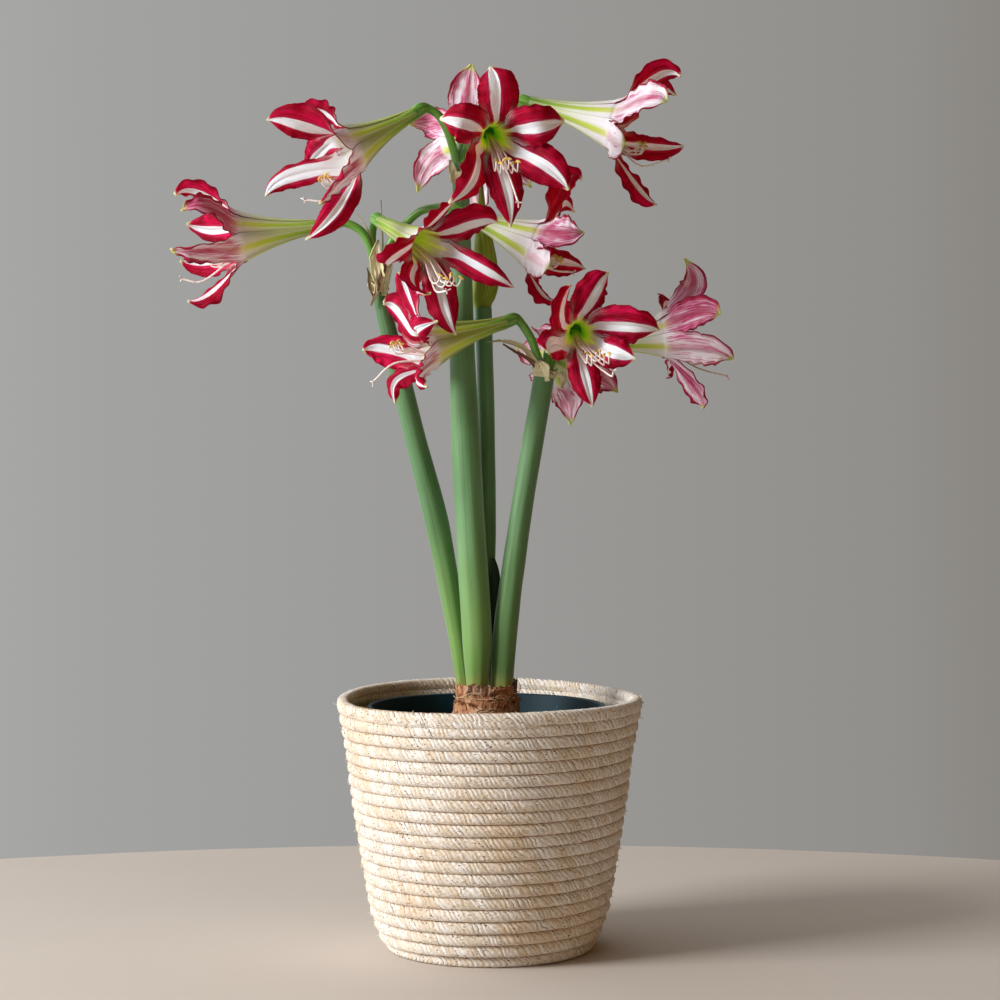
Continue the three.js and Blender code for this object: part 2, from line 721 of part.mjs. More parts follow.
// One arm grows out of a triangle of the foot and ends closed, with a reach at each of its points.
function arm(skin, foot, path, reaches) {
  let ring = foot;
  const corners = foot.map((index) => skin.point(index));
  const heart = corners[0].clone().add(corners[1]).add(corners[2]).multiplyScalar(1 / 3);
  let spokes = corners.map((corner) => corner.sub(heart).normalize());
  const points = [heart, ...path];
  let before = points[1].clone().sub(points[0]).normalize();
  for (let number = 1; number < points.length; number += 1) {
    const tangent = points[number].clone().sub(points[number - 1]).normalize();
    if (number < points.length - 1) {
      tangent.add(points[number + 1].clone().sub(points[number]).normalize()).normalize();
    }
    const turn = new THREE.Quaternion().setFromUnitVectors(before, tangent);
    spokes = spokes.map((spoke) => spoke.clone().applyQuaternion(turn));
    before = tangent;
    const reach = reaches[number - 1];
    const next = spokes.map((spoke) => skin.corner(points[number].clone().addScaledVector(spoke, reach)));
    for (let side = 0; side < 3; side += 1) {
      const beside = (side + 1) % 3;
      skin.quad(ring[side], ring[beside], next[beside], next[side]);
    }
    ring = next;
  }
  skin.triangle(ring[0], ring[1], ring[2]);
}

function stamens(flower) {
  const frame = flowerFrame(flower);
  const skin = new Skin();
  const around = (lift, radius, number) => {
    const angle = (2 * Math.PI * (number - 0.5)) / 7 - Math.PI / 2;
    const point = frame.base.clone().addScaledVector(frame.axis, lift);
    point.addScaledVector(frame.side, radius * Math.cos(angle));
    return skin.corner(point.addScaledVector(frame.top, radius * Math.sin(angle)));
  };
  const low = fanPlaces.map((share, number) => around(2.2, 1.5, number));
  const high = fanPlaces.map((share, number) => around(4.4, 1.5, number));
  const middle = skin.corner(frame.base.clone().addScaledVector(frame.axis, 4.4));
  const anthers = place(...flower.anthers);
  const end = place(...flower.style);
  for (let number = 0; number < 7; number += 1) {
    const next = (number + 1) % 7;
    skin.quad(low[number], low[next], high[next], high[number]);
    if (number > 0 && number < 6) {
      skin.triangle(low[0], low[number + 1], low[number]);
    }
    const spread = fanPlaces[number] * fanStep;
    const lip = frame.throat.clone().addScaledVector(frame.axis, 2);
    lip.addScaledVector(frame.side, 0.5 * spread);
    lip.addScaledVector(frame.top, 0.8 * fanHeights[number] - (number === 0 ? 10.5 : 6.5));
    if (number === 0) {
      let bend = end.clone().addScaledVector(frame.axis, -12).addScaledVector(frame.top, -4);
      if (flower.styleBend) {
        bend = place(...flower.styleBend);
      }
      arm(skin, [middle, high[number], high[next]], [lip, bend, end], [0.75, 0.75, 1.3]);
      continue;
    }
    const reach = number % 2 === 0 ? 2 : -2;
    const held = anthers.clone().addScaledVector(frame.side, spread);
    held.addScaledVector(frame.axis, reach).addScaledVector(frame.top, fanHeights[number]);
    const bend = held.clone().addScaledVector(frame.axis, -9).addScaledVector(frame.top, -4.5);
    const swell = held.clone().addScaledVector(frame.top, 2.2).addScaledVector(frame.axis, 0.6);
    const last = held.clone().addScaledVector(frame.top, 4.6).addScaledVector(frame.axis, 0.4);
    const path = [lip, bend, held, swell, last];
    arm(skin, [middle, high[number], high[next]], path, [0.75, 0.7, 0.9, 1.4, 0.6]);
  }
  return skin;
}

for (const [name, flower] of Object.entries(flowers)) {
  addNode(`stamens_${name}`, stamens(flower).geometry(), 0xf2e3c4, 0.6);
}

// ---------------------------------------------------------------- bud, leaf, withered bracts

const budFoot = place(482.8, 308, 18);
const budRise = budFoot.clone().sub(place(484.8, 360, 17)).normalize();
const budPoints = [
  budFoot.clone().addScaledVector(budRise, gap),
  budFoot.clone().addScaledVector(budRise, 6),
  place(485.5, 285, 18),
  place(485.3, 266, 19),
  place(484, 247, 20),
  place(482.5, 227, 21),
  place(481.6, 205, 22),
  place(481.3, 180, 23),
];
const bud = stem(budPoints, [6.2, 8.4, 9.5, 9.1, 7.6, 5.2, 2.9, 1.3], 8, evenShares(9), 0.8);
addNode('closed_bud', bud.geometry(), 0x77863a, 0.55);

const leafPoints = [
  leafPlace.clone().setZ(neckTop + gap),
  new THREE.Vector3(0.5, 6, 225),
  new THREE.Vector3(3.3, 6, 255),
  new THREE.Vector3(3.5, 6, 275),
  new THREE.Vector3(2.5, 6, 287),
];
const youngLeaf = stem(leafPoints, [3, 4.2, 4.6, 3.8, 1.5], 6, evenShares(6), 0.24);
addNode('young_leaf', youngLeaf.geometry(), 0x1d3a22, 0.5);

// A withered bract: a thin pointed strip.
function bract(spots, widths, flatten) {
  return stem(spots.map((spot) => place(...spot)), widths, 4, evenShares(spots.length - 1), flatten);
}

// The collar is the dry ring that the bracts hang from, just clear of the scape.
function collar(spots, radius, sides) {
  const outer = stem(spots.map((spot) => place(...spot)), [radius + 1.5, radius + 1.5], sides, [0, 1]);
  const [low, high] = spots.map((spot) => place(...spot));
  const along = high.clone().sub(low).normalize();
  const ends = [low.addScaledVector(along, -1), high.addScaledVector(along, 1)];
  const inner = stem(ends, [radius + 0.4, radius + 0.4], sides, [0, 1]);
  return outer.solid().subtract(inner.solid());
}

function addSpathe(name, ring, strips, colour) {
  let whole = ring;
  for (const [spots, widths, flatten] of strips) {
    whole = whole.add(bract(spots, widths, flatten).solid());
  }
  addNode(name, geometryOf(whole), colour, 0.85);
}

addSpathe('spathe_left', collar([[379.9, 291, 6], [377.9, 283, 6]], 6.5, 12), [
  [[[379.4, 289, -1.6], [378, 274, -3.4], [375, 256, -6], [378, 238, -6]], [3, 4.6, 4.2, 1.2], 0.3],
  [[[371, 304, -2.6], [379, 290, -1.8], [384, 272, -3.5], [390, 255, -5]], [1, 2, 2.4, 1.3], 0.4],
], 0xc9b98c);
addSpathe('spathe_centre', collar([[460.1, 180, 2], [459.8, 173, 2]], 6.7, 12), [
  [[[453.4, 182, -4], [452.5, 172, -4.4], [450, 160, -5.4]], [2, 3, 1.5], 0.3],
], 0xc2a777);
addSpathe('spathe_right', collar([[543.8, 377, 0], [545, 369.5, 0]], 8.1, 12), [
  [[[548, 377.5, -8], [543.6, 370, -8.4], [538, 362, -10]], [3.4, 6.5, 3.2], 0.2],
], 0xb79a6b);

export default group;
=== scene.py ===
import math
import random

import bpy
from mathutils import Matrix, Vector, noise


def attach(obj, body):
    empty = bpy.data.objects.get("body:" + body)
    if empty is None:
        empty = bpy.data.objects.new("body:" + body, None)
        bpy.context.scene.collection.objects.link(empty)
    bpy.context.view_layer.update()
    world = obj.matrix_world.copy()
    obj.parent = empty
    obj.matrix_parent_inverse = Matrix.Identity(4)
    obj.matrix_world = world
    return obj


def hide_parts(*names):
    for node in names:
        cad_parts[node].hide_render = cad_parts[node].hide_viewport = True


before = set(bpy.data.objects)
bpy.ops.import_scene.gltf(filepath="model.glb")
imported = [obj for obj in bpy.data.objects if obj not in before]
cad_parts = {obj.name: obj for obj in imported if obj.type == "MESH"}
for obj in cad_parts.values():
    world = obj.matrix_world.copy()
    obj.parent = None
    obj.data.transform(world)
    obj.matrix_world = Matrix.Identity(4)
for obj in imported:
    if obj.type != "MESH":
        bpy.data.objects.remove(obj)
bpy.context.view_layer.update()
print("frame loaded")

mm = 0.001
upward = Vector((0, 0, 1))
merged = 1e-6           # m, corners nearer than this become one
curveSteps = 400        # short pieces that a curve is measured in

# a spot on the plant is typed as steps across and down an upright grid through the middle of the pot,
# as seen from the eye straight in front, and mm behind that grid
grid = {"step": 0.74, "middle": 500, "level": 430}
eye = {"across": 7.8, "back": 1835, "height": 382}


def place(across, down, back):
    spread = grid["step"] * (1 + back / eye["back"])
    x = eye["across"] + (across - grid["middle"]) * spread
    return Vector((x, back, eye["height"] - (down - grid["level"]) * spread)) * mm


def ease(value, low, high):
    share = min(1, max(0, (value - low) / (high - low)))
    return share * share * (3 - 2 * share)


def mixed(first, second, share):
    return first + (second - first) * share


def wobble(x, y=0.0, z=0.0):
    return noise.noise(Vector((x, y, z)))


def between(values, share):
    # a smooth curve through evenly spaced values, read at a share of its length
    reach = min(max(share, 0), 1) * (len(values) - 1)
    step = min(int(reach), len(values) - 2)
    t = reach - step
    a, b, c, d = (values[min(max(step + k, 0), len(values) - 1)] for k in (-1, 0, 1, 2))
    bend, twist = a * 2 - b * 5 + c * 4 - d, b * 3 - a - c * 3 + d
    return (b * 2 + (c - a) * t + bend * t * t + twist * t ** 3) * 0.5


def curvePoint(spots, share):
    # a smooth curve through unevenly spaced spots, read at a share of their number
    reach = min(max(share, 0), 1) * (len(spots) - 1)
    step = min(int(reach), len(spots) - 2)
    t = reach - step
    b, c = spots[step], spots[step + 1]
    a = spots[step - 1] if step > 0 else b * 2 - c
    d = spots[step + 2] if step < len(spots) - 2 else c * 2 - b
    before, here, after = (max(1e-6, (q - p).length ** 0.5) for p, q in ((a, b), (b, c), (c, d)))
    leave = ((b - a) / before - (c - a) / (before + here) + (c - b) / here) * here
    arrive = ((c - b) / here - (d - b) / (here + after) + (d - c) / after) * here
    return (b + leave * t + (c * 3 - b * 3 - leave * 2 - arrive) * t * t
            + (b * 2 - c * 2 + leave + arrive) * t ** 3)


def smoothPath(spots, count, sizes=None):
    # points at even steps of length along the curve, and the size at each where there is one a spot
    fine = [curvePoint(spots, k / curveSteps) for k in range(curveSteps + 1)]
    reach = [0]
    for before, after in zip(fine, fine[1:]):
        reach.append(reach[-1] + (after - before).length)
    path, radii, k = [], [], 0
    for number in range(count):
        wanted = reach[-1] * number / (count - 1)
        while k < curveSteps - 1 and reach[k + 1] < wanted:
            k += 1
        share = min(1, (wanted - reach[k]) / max(reach[k + 1] - reach[k], 1e-9))
        path.append(fine[k].lerp(fine[k + 1], share))
        if sizes:
            radii.append(between(sizes, (k + share) / curveSteps) * mm)
    return (path, radii) if sizes else path


def pick(*pieces):
    # selects these pieces alone, the first one active
    bpy.ops.object.select_all(action="DESELECT")
    for piece in pieces:
        piece.select_set(True)
    if pieces:
        bpy.context.view_layer.objects.active = pieces[0]


def named(name):
    # names the piece that was just added
    piece = bpy.context.object
    piece.name = piece.data.name = name
    return piece


def closeSeam(piece):
    pick(piece)
    bpy.ops.object.mode_set(mode="EDIT")
    bpy.ops.mesh.select_all(action="SELECT")
    bpy.ops.mesh.remove_doubles(threshold=merged)
    bpy.ops.mesh.normals_make_consistent(inside=False)
    bpy.ops.object.mode_set(mode="OBJECT")
    return piece


def bentGrid(name, across, along, spot):
    # a grid whose points are carried to spot(u, v), u from -1 to 1 and v from 0 to 1
    bpy.ops.mesh.primitive_grid_add(x_subdivisions=across, y_subdivisions=along, size=2, calc_uvs=True)
    piece = named(name)
    for vertex in piece.data.vertices:
        vertex.co = spot(vertex.co.x, (vertex.co.y + 1) / 2)
    return piece


def sweep(name, path, radii, around=12, flat=1.0, lead=(1, 0, 0), relief=None):
    # a round body along a path: a grid rolled up, its seam merged and its ends drawn in to a point
    centres = [path[0], path[0], *path[1:-1], path[-1], path[-1]]
    sizes = [0, *radii, 0]
    across = Vector(lead)
    frames = []
    for number in range(len(path)):
        tangent = (path[min(number + 1, len(path) - 1)] - path[max(number - 1, 0)]).normalized()
        across = (across - tangent * across.dot(tangent)).normalized()
        frames.append((across.copy(), tangent.cross(across)))
    frames = [frames[0], *frames, frames[-1]]
    rows = len(centres) - 1

    def spot(u, v):
        row = round(v * rows)
        angle = math.pi * (u + 1)
        first, second = frames[row]
        size = sizes[row]
        if relief and size:
            size += relief(angle, (row - 1) / (rows - 2))
        return centres[row] + first * (size * math.cos(angle)) + second * (size * flat * math.sin(angle))

    return closeSeam(bentGrid(name, around, rows, spot))


def spun(name, outline, steps, middle=0, wave=None):
    # an outline in radius and height, drawn by extruding one corner, then spun round and closed
    bpy.ops.mesh.primitive_plane_add(size=mm)
    piece = named(name)
    bpy.ops.object.mode_set(mode="EDIT")
    bpy.ops.mesh.select_all(action="SELECT")
    bpy.ops.mesh.merge(type="CENTER")
    radius, height = outline[0]
    bpy.ops.transform.translate(value=(radius * mm, 0, height * mm))
    for (lastRadius, lastHeight), (radius, height) in zip(outline, outline[1:]):
        step = ((radius - lastRadius) * mm, 0, (height - lastHeight) * mm)
        bpy.ops.mesh.extrude_region_move(TRANSFORM_OT_translate={"value": step})
    bpy.ops.mesh.select_all(action="SELECT")
    bpy.ops.mesh.spin(steps=steps, angle=2 * math.pi, center=(0, 0, 0), axis=(0, 0, 1))
    bpy.ops.object.mode_set(mode="OBJECT")
    closeSeam(piece)
    for vertex in piece.data.vertices:
        if wave:
            vertex.co = wave(vertex.co)
        vertex.co.x += middle * mm
    return piece


def copyOf(master, placing):
    # a twin of a small master, its mesh carried to a place of its own
    twin = master.copy()
    twin.data = master.data.copy()
    twin.data.transform(placing)
    bpy.context.collection.objects.link(twin)
    return twin


def facing(*directions):
    # turns the axes into three directions
    return Matrix(directions).transposed().to_4x4()


def thicken(piece, thickness, offset=0, **settings):
    # gives a thin sheet its thickness with an applied modifier
    pick(piece)
    modifier = piece.modifiers.new("thickness", "SOLIDIFY")
    for key, value in {"thickness": thickness * mm, "offset": offset, **settings}.items():
        setattr(modifier, key, value)
    bpy.ops.object.modifier_apply(modifier=modifier.name)


def joined(name, pieces):
    pick(*pieces)
    if len(pieces) > 1:
        bpy.ops.object.join()
    return named(name)


def settle(piece, nodes, material=None, angle=50):
    # finish, place in the frame, and the CAD solids that the piece stands for
    pick(piece)
    bpy.ops.object.shade_smooth_by_angle(angle=math.radians(angle))
    if material:
        piece.data.materials.clear()
        piece.data.materials.append(material)
    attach(piece, "root")
    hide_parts(*nodes)


def markEach(piece, name, values):
    # three numbers on every point of a piece, for its material to read
    layer = piece.data.attributes.new(name, "FLOAT_VECTOR", "POINT")
    layer.data.foreach_set("vector", [number for value in values for number in value])


def markAll(piece, name, first, second=0, third=0):
    markEach(piece, name, [(first, second, third)] * len(piece.data.vertices))


# materials

def tint(red, green, blue):
    # a colour as it looks on a screen, 0 to 255, as Blender wants it
    return tuple(mixed(c / 12.92, ((c + 0.055) / 1.055) ** 2.4, c > 0.04045)
                 for c in (red / 255, green / 255, blue / 255)) + (1,)


def feed(socket, value):
    # joins a flow to a socket, or sets the socket to a number or a colour
    if isinstance(value, Flow):
        socket.id_data.links.new(value.socket, socket)
    elif socket.type == "RGBA" and len(value) == 3:
        socket.default_value = tint(*value)
    else:
        socket.default_value = value


def newNode(tree, kind, feeds=(), output=0, **settings):
    made = tree.nodes.new("ShaderNode" + kind)
    for key, value in settings.items():
        setattr(made, key, value)
    for key, value in dict(feeds).items():
        feed(made.inputs[key], value)
    return Flow(made.outputs[output])


class Flow:
    # a number, colour or spot on its way through a material; what is worked out from it is a node
    def __init__(self, socket):
        self.socket = socket

    def through(self, kind, feeds, output=0, **settings):
        return newNode(self.socket.id_data, kind, feeds, output, **settings)

    def sum(self, operation, *others):
        return self.through("Math", enumerate((self, *others)), operation=operation)

    def __add__(self, other):
        return self.sum("ADD", other)

    def __sub__(self, other):
        return self.sum("SUBTRACT", other)

    def __mul__(self, other):
        return self.sum("MULTIPLY", other)

    def __abs__(self):
        return self.sum("ABSOLUTE")

    def rise(self, low, high, top=1):
        # 0 below low, top above high, smooth between
        feeds = {"Value": self, "From Min": low, "From Max": high, "To Max": top}
        return self.through("MapRange", feeds, interpolation_type="SMOOTHSTEP")

    def blend(self, other, share):
        # this colour, covered with a share of another
        return self.through("Mix", {0: share, 6: self, 7: other}, 2, data_type="RGBA")

    def fade(self, *stops, convert=tint):
        # a row of (place, red, green, blue), read at this value
        flow = self.through("ValToRGB", {0: self})
        ramp = flow.socket.node.color_ramp
        while len(ramp.elements) < len(stops):
            ramp.elements.new(0.5)
        for element, (position, *colour) in zip(ramp.elements, stops):
            element.position = position
            element.color = convert(*colour)
        return flow

    def parts(self):
        return [Flow(output) for output in self.through("SeparateXYZ", {0: self}).socket.node.outputs]

    def stretched(self, scale):
        return self.through("Mapping", {"Vector": self, "Scale": scale})

    def grain(self, scale=1, detail=3, roughness=0.55, distortion=0):
        if isinstance(scale, tuple):
            return self.stretched(scale).grain(1, detail, roughness, distortion)
        return self.through("TexNoise", {"Vector": self, "Scale": scale, "Detail": detail,
                                         "Roughness": roughness, "Distortion": distortion})

    def speckle(self, scale=1):
        return self.through("TexVoronoi", {"Vector": self, "Scale": scale})

    def chance(self):
        return self.through("TexWhiteNoise", {"Vector": self}, noise_dimensions="3D")


class Recipe:
    # one material, from where its flows start to where they end
    def __init__(self, name, roughness, gloss, **skinSettings):
        self.material = bpy.data.materials.new(name)
        self.material.use_nodes = True
        self.tree = self.material.node_tree
        self.skin = self.tree.nodes["Principled BSDF"].inputs
        for key, value in {"Roughness": roughness, "Specular IOR Level": gloss, **skinSettings}.items():
            self.skin[key].default_value = value

    def spot(self):
        return newNode(self.tree, "TexCoord", output="Object")

    def sheet(self):
        # how far across and along its piece a point lies
        return newNode(self.tree, "TexCoord", output="UV").parts()[:2]

    def marks(self, name):
        return newNode(self.tree, "Attribute", output="Vector", attribute_name=name).parts()

    def together(self, x, y, z=0):
        return newNode(self.tree, "CombineXYZ", enumerate((x, y, z)))

    def veins(self, x, y, z=0):
        return self.together(x, y, z).grain()

    def finish(self, colour, height=None, distance=0, strength=1):
        feed(self.skin["Base Color"], colour)
        if height:
            feeds = {"Height": height, "Distance": distance, "Strength": strength}
            feed(self.skin["Normal"], newNode(self.tree, "Bump", feeds))
        return self.material


def petalInner():
    # crimson velvet with a white stripe, a green throat and streaks where the colours meet
    r = Recipe("petal_inner", 0.56, 0.06, **{
        "Subsurface Weight": 0.7, "Subsurface Scale": 0.004, "Subsurface Radius": (1, 0.5, 0.4)})
    across, along = r.sheet()
    _, opened, seed = r.marks("petalMood")
    shift, throatReach, _ = r.marks("petalStripe")
    sheenAndTint, _, _ = r.marks("petalSheenAndTint")
    aside = across * 2 - 1
    edge = abs(aside)
    lines = r.veins(across * 42, along * 4, seed * 37)
    fine = r.veins(across * 110, along * 6, seed * 11)
    broad = r.veins(across * 5, along * 5, seed * 53)
    red = lines.fade((0.3, 98, 0, 18), (0.5, 144, 0, 34), (0.72, 192, 4, 58))
    # brighter magenta patches, partly the crimson's own colour and partly painted sheen, stronger on some
    # flowers
    red = red.blend((204, 12, 76), broad.rise(0.46, 0.66, sheenAndTint))
    # painted sheen: fine pink streaks standing in for the glitter on the crimson
    red = red.blend((222, 84, 136), fine.rise(0.6, 0.78, 0.45))
    red = red.blend((96, 0, 20), edge.rise(0.82, 1, 0.7))
    white = fine.fade((0.3, 230, 184, 206), (0.46, 250, 242, 245), (1, 255, 252, 250))
    # the stripe runs a little off the middle, and is wide near the throat on the petals that lie open
    fromStripe = abs(aside - along.rise(0.25, 0.6, shift))
    stripeHalf = along.rise(0.3, 0.85, 0.08) + 0.17 + opened * along.rise(0.58, 0.24, 0.5)
    stripeHalf += (opened - 1).sum("MAXIMUM", 0) * 0.5 + opened.sum("MINIMUM", 0) * 0.5
    beside = fromStripe + (lines - 0.5) * 0.16 - stripeHalf
    red = red.blend((224, 92, 150), fine.rise(0.48, 0.64, 0.8) * beside.rise(0.26, 0.02))
    colour = white.blend(red, beside.rise(0, 0.05))
    # pale streaks run up the margins from the throat
    streaks = edge.rise(0.5, 0.85) * along.rise(0.6, 0.34) * fine.rise(0.44, 0.58)
    colour = colour.blend(white, streaks)
    # the crimson starts in streaks above the throat
    startsAt = opened * 0.08 + throatReach * 0.19
    reachOut = along + (lines - 0.5) * 0.2 + edge.rise(0.6, 1, -0.06)
    colour = white.blend(colour, (reachOut - startsAt).rise(0, 0.05))
    depth = along.sum("DIVIDE", throatReach)
    throat = depth.fade((0, 92, 176, 20), (0.08, 132, 204, 28), (0.16, 190, 226, 44), (0.26, 234, 238, 110))
    throatEnd = depth + (lines - 0.5) * 0.26 + fromStripe.rise(0.24, 0.04, -0.08)
    inThroat = throatEnd.rise(0.3, 0.17)
    colour = colour.blend(throat, inThroat).blend((230, 222, 176), along.rise(0.96, 1))
    # painted glow: the throat gives off a little light of its own, in place of light through the thin tube
    feed(r.skin["Emission Color"], throat)
    feed(r.skin["Emission Strength"], inThroat * 0.13)
    return r.finish(colour, fine + lines, 0.0005, 0.5)


def petalOuter():
    # white to pink with a rosy midrib and crimson margins, on a green-striped tube
    r = Recipe("petal_outer", 0.46, 0.25, **{
        "Subsurface Weight": 0.4, "Subsurface Scale": 0.003, "Subsurface Radius": (1, 0.9, 0.7)})
    across, along = r.sheet()
    blush, _, seed = r.marks("petalMood")
    _, _, tone = r.marks("petalStripe")
    edge = abs(across * 2 - 1)
    lines = r.veins(across * 36, along * 4, seed * 23)
    fine = r.veins(across * 100, along * 6, seed * 51)
    broad = r.veins(across * 5, along * 3, seed * 77)
    ragged = edge + (lines - 0.5) * 0.45
    pale = fine.fade((0.3, 240, 206, 224), (0.5, 250, 238, 246), (0.7, 255, 252, 253))
    rosy = fine.fade((0.34, 160, 14, 80), (0.5, 198, 62, 120), (0.64, 238, 178, 206))
    # rosy streaks gather in patches, most on the flowers that blush
    patch = blush * 0.64 - 0.28 + broad + (lines - 0.5) + (fine - 0.5) * 0.7
    fromTube = (along + (lines - 0.5) * 0.5).rise(0.3, 0.5)
    colour = pale.blend(rosy, patch.rise(0.44, 0.64) * fromTube)
    # crimson margins widen towards the tip
    rim = ragged + along.rise(0.4, 0.95, 0.2) + blush * 0.12
    colour = colour.blend((168, 16, 66), rim.rise(0.98, 1.12) * along.rise(0.3, 0.5))
    # the midrib is green on the tube, turns rosy brown at the mouth and crimson beyond
    halves = ((0, 0.55), (0.16, 0.36), (0.32, 0.22), (0.9, 0.1))
    ribHalf = along.fade(*halves, convert=lambda half: (half, half, half, 1))
    onRib = (ribHalf - ragged).rise(-0.24, 0.14)
    ribStrength = along.rise(0.46, 0.26).sum("MAXIMUM", blush * 0.5 + 0.4) * along.rise(1, 0.8)
    ribColour = along.fade(
        (0, 100, 148, 36), (0.1, 156, 190, 62), (0.24, 196, 214, 84), (0.34, 216, 212, 120),
        (0.41, 200, 134, 124), (0.5, 172, 56, 92), (0.66, 170, 34, 86), (1, 190, 76, 104))
    colour = colour.blend(ribColour, onRib * ribStrength)
    # between the ribs the tube is white to yellow-green
    wall = along.fade((0, 132, 172, 50), (0.08, 208, 222, 136), (0.17, 240, 246, 218), (0.3, 252, 248, 252))
    wall = wall.blend((226, 214, 232), fine.rise(0.55, 0.35, 0.5))
    wall = wall.blend((150, 164, 30), along.rise(0.46, 0.2, tone))
    colour = colour.blend(wall, along.rise(0.42, 0.28) * (onRib * -1 + 1))
    colour = colour.blend((150, 160, 60), edge.rise(0.9, 1, 0.6) * along.rise(0.36, 0.2))
    colour = colour.blend((120, 6, 40), edge.rise(0.95, 0.99) * along.rise(0.2, 0.34))
    return r.finish(colour.blend((196, 204, 110), along.rise(0.93, 0.99)), fine + lines, 0.0005, 0.6)


def filamentWhite():
    # white to pink filaments and style, greener towards the foot
    r = Recipe("filament_white", 0.4, 0.4)
    _, along = r.sheet()
    colour = along.fade((0, 176, 196, 110), (0.3, 228, 200, 196), (0.65, 246, 226, 222), (1, 252, 248, 240))
    return r.finish(colour.blend((222, 170, 176), r.spot().grain(260, 2).rise(0.55, 0.8)))


def antherYellow():
    # pollen sacs
    r = Recipe("anther_yellow", 0.85, 0.2)
    dust = r.spot().grain(900)
    colour = dust.fade((0.3, 206, 160, 66), (0.55, 236, 204, 112), (0.8, 248, 228, 156))
    return r.finish(colour, dust, 0.0004, 0.8)


def stemGreen():
    # waxy green with a blue-grey bloom, fine lines lengthwise, yellower at the foot
    r = Recipe("stem_green", 0.55, 0.4, **{
        "Sheen Weight": 1, "Sheen Roughness": 0.35, "Sheen Tint": (0.88, 1, 0.98, 1)})
    across, _ = r.sheet()
    spot = r.spot()
    height = spot.parts()[2]
    darkerBy, fresh, _ = r.marks("stemTone")
    lines = r.veins(across * 60, height * 9)
    fine = r.veins(across * 190, height * 14)
    cloud = spot.grain((30, 30, 7))
    green = cloud.fade((0.3, 74, 114, 68), (0.5, 96, 140, 92), (0.72, 118, 160, 116))
    # each stem is made darker by its own share, the left one most
    green = green.blend((96, 140, 78), lines.rise(0.45, 0.75)).blend((52, 90, 42), darkerBy)
    green = green.blend((120, 160, 76), height.rise(0.34, 0.2, fresh))
    green = green.blend((146, 184, 130), fine.rise(0.52, 0.7, 0.4))
    green = green.blend((58, 96, 46), fine.rise(0.46, 0.3, 0.35))
    green = green.blend((150, 160, 80), (height + cloud * 0.012).rise(0.212, 0.196))
    return r.finish(green, lines + cloud * 0.4, 0.0004, 0.5)


# green parts with long veins: roughness and shine, veins across and along, three shades of green,
# patches (colour, fineness, from, to), the colour of one end (colour, from, to), depth of the veins
veined = {
    # the bent stalks and ovaries: fresher and darker, glossy
    "stalk": (0.32, 0.5, 26, 5, [(0.3, 66, 116, 38), (0.5, 96, 150, 54), (0.72, 132, 180, 80)],
              ((104, 142, 84), 60, 0.5, 0.8), ((130, 158, 96), 0.12, 0), 0.0004, 0.5),
    # olive bud, brown-edged where the two valves part
    "bud": (0.45, 0.4, 60, 3, [(0.3, 104, 122, 20), (0.5, 140, 156, 34), (0.75, 170, 180, 52)],
            ((136, 132, 34), 45, 0.48, 0.75), ((116, 92, 44), 0.75, 1), 0.0006, 0.6),
    # the young leaf, dark green made almost black with painted shade where it stands between the stems
    "leaf": (0.35, 0.5, 40, 4, [(0.3, 22, 42, 22), (0.55, 36, 62, 32), (0.8, 60, 90, 46)],
             None, ((120, 140, 78), 0.2, 0), 0.0004, 0.6),
}


def veinedGreen(name, roughness, gloss, aside, lengthwise, shades, patches, end, depth, strength):
    r = Recipe(name + "_green", roughness, gloss)
    across, along = r.sheet()
    lines = r.veins(across * aside, along * lengthwise)
    green = lines.fade(*shades)
    if patches:
        colour, scale, low, high = patches
        green = green.blend(colour, r.spot().grain(scale).rise(low, high))
    colour, low, high = end
    return r.finish(green.blend(colour, along.rise(low, high)), lines, depth, strength)


def dryBract():
    # papery, translucent-looking tan with brown veins and dark brown ends
    r = Recipe("dry_bract", 0.75, 0.25)
    across, along = r.sheet()
    tone, _, seed = r.marks("bractTone")
    lines = r.veins(across * 30, along * 3, seed * 40)
    cream = lines.fade((0.3, 214, 200, 148), (0.5, 236, 229, 186), (0.75, 247, 242, 214))
    brown = lines.fade((0.3, 74, 46, 28), (0.5, 112, 76, 46), (0.75, 158, 118, 74))
    return r.finish(cream.blend(brown, tone.sum("MAXIMUM", along.rise(0.8, 1, 0.6))), lines, 0.0006, 0.8)


def bulbPaper():
    # brown papery skins with lengthwise wrinkles and orange-brown flakes
    r = Recipe("bulb_paper", 0.7, 0.3)
    spot = r.spot()
    tone, thread, _ = r.marks("skinTone")
    wrinkles = spot.grain((230, 230, 110), 5, 0.62, 1.4)
    cloud = spot.grain((120, 120, 90), 4, 0.6, 1)
    brown = wrinkles.fade(
        (0.28, 72, 44, 30), (0.42, 138, 92, 62), (0.56, 188, 138, 98), (0.72, 232, 196, 158))
    brown = brown.blend((188, 124, 82), tone.rise(0.6, 0.9, 0.7))
    brown = brown.blend((74, 44, 32), tone.rise(0.45, 0.1, 0.75))
    brown = brown.blend((214, 172, 138), cloud.rise(0.52, 0.62, 0.75))
    brown = brown.blend((56, 32, 25), cloud.rise(0.47, 0.36, 0.85))
    return r.finish(brown.blend((222, 190, 150), thread * 0.85), wrinkles, 0.0012, 0.9)


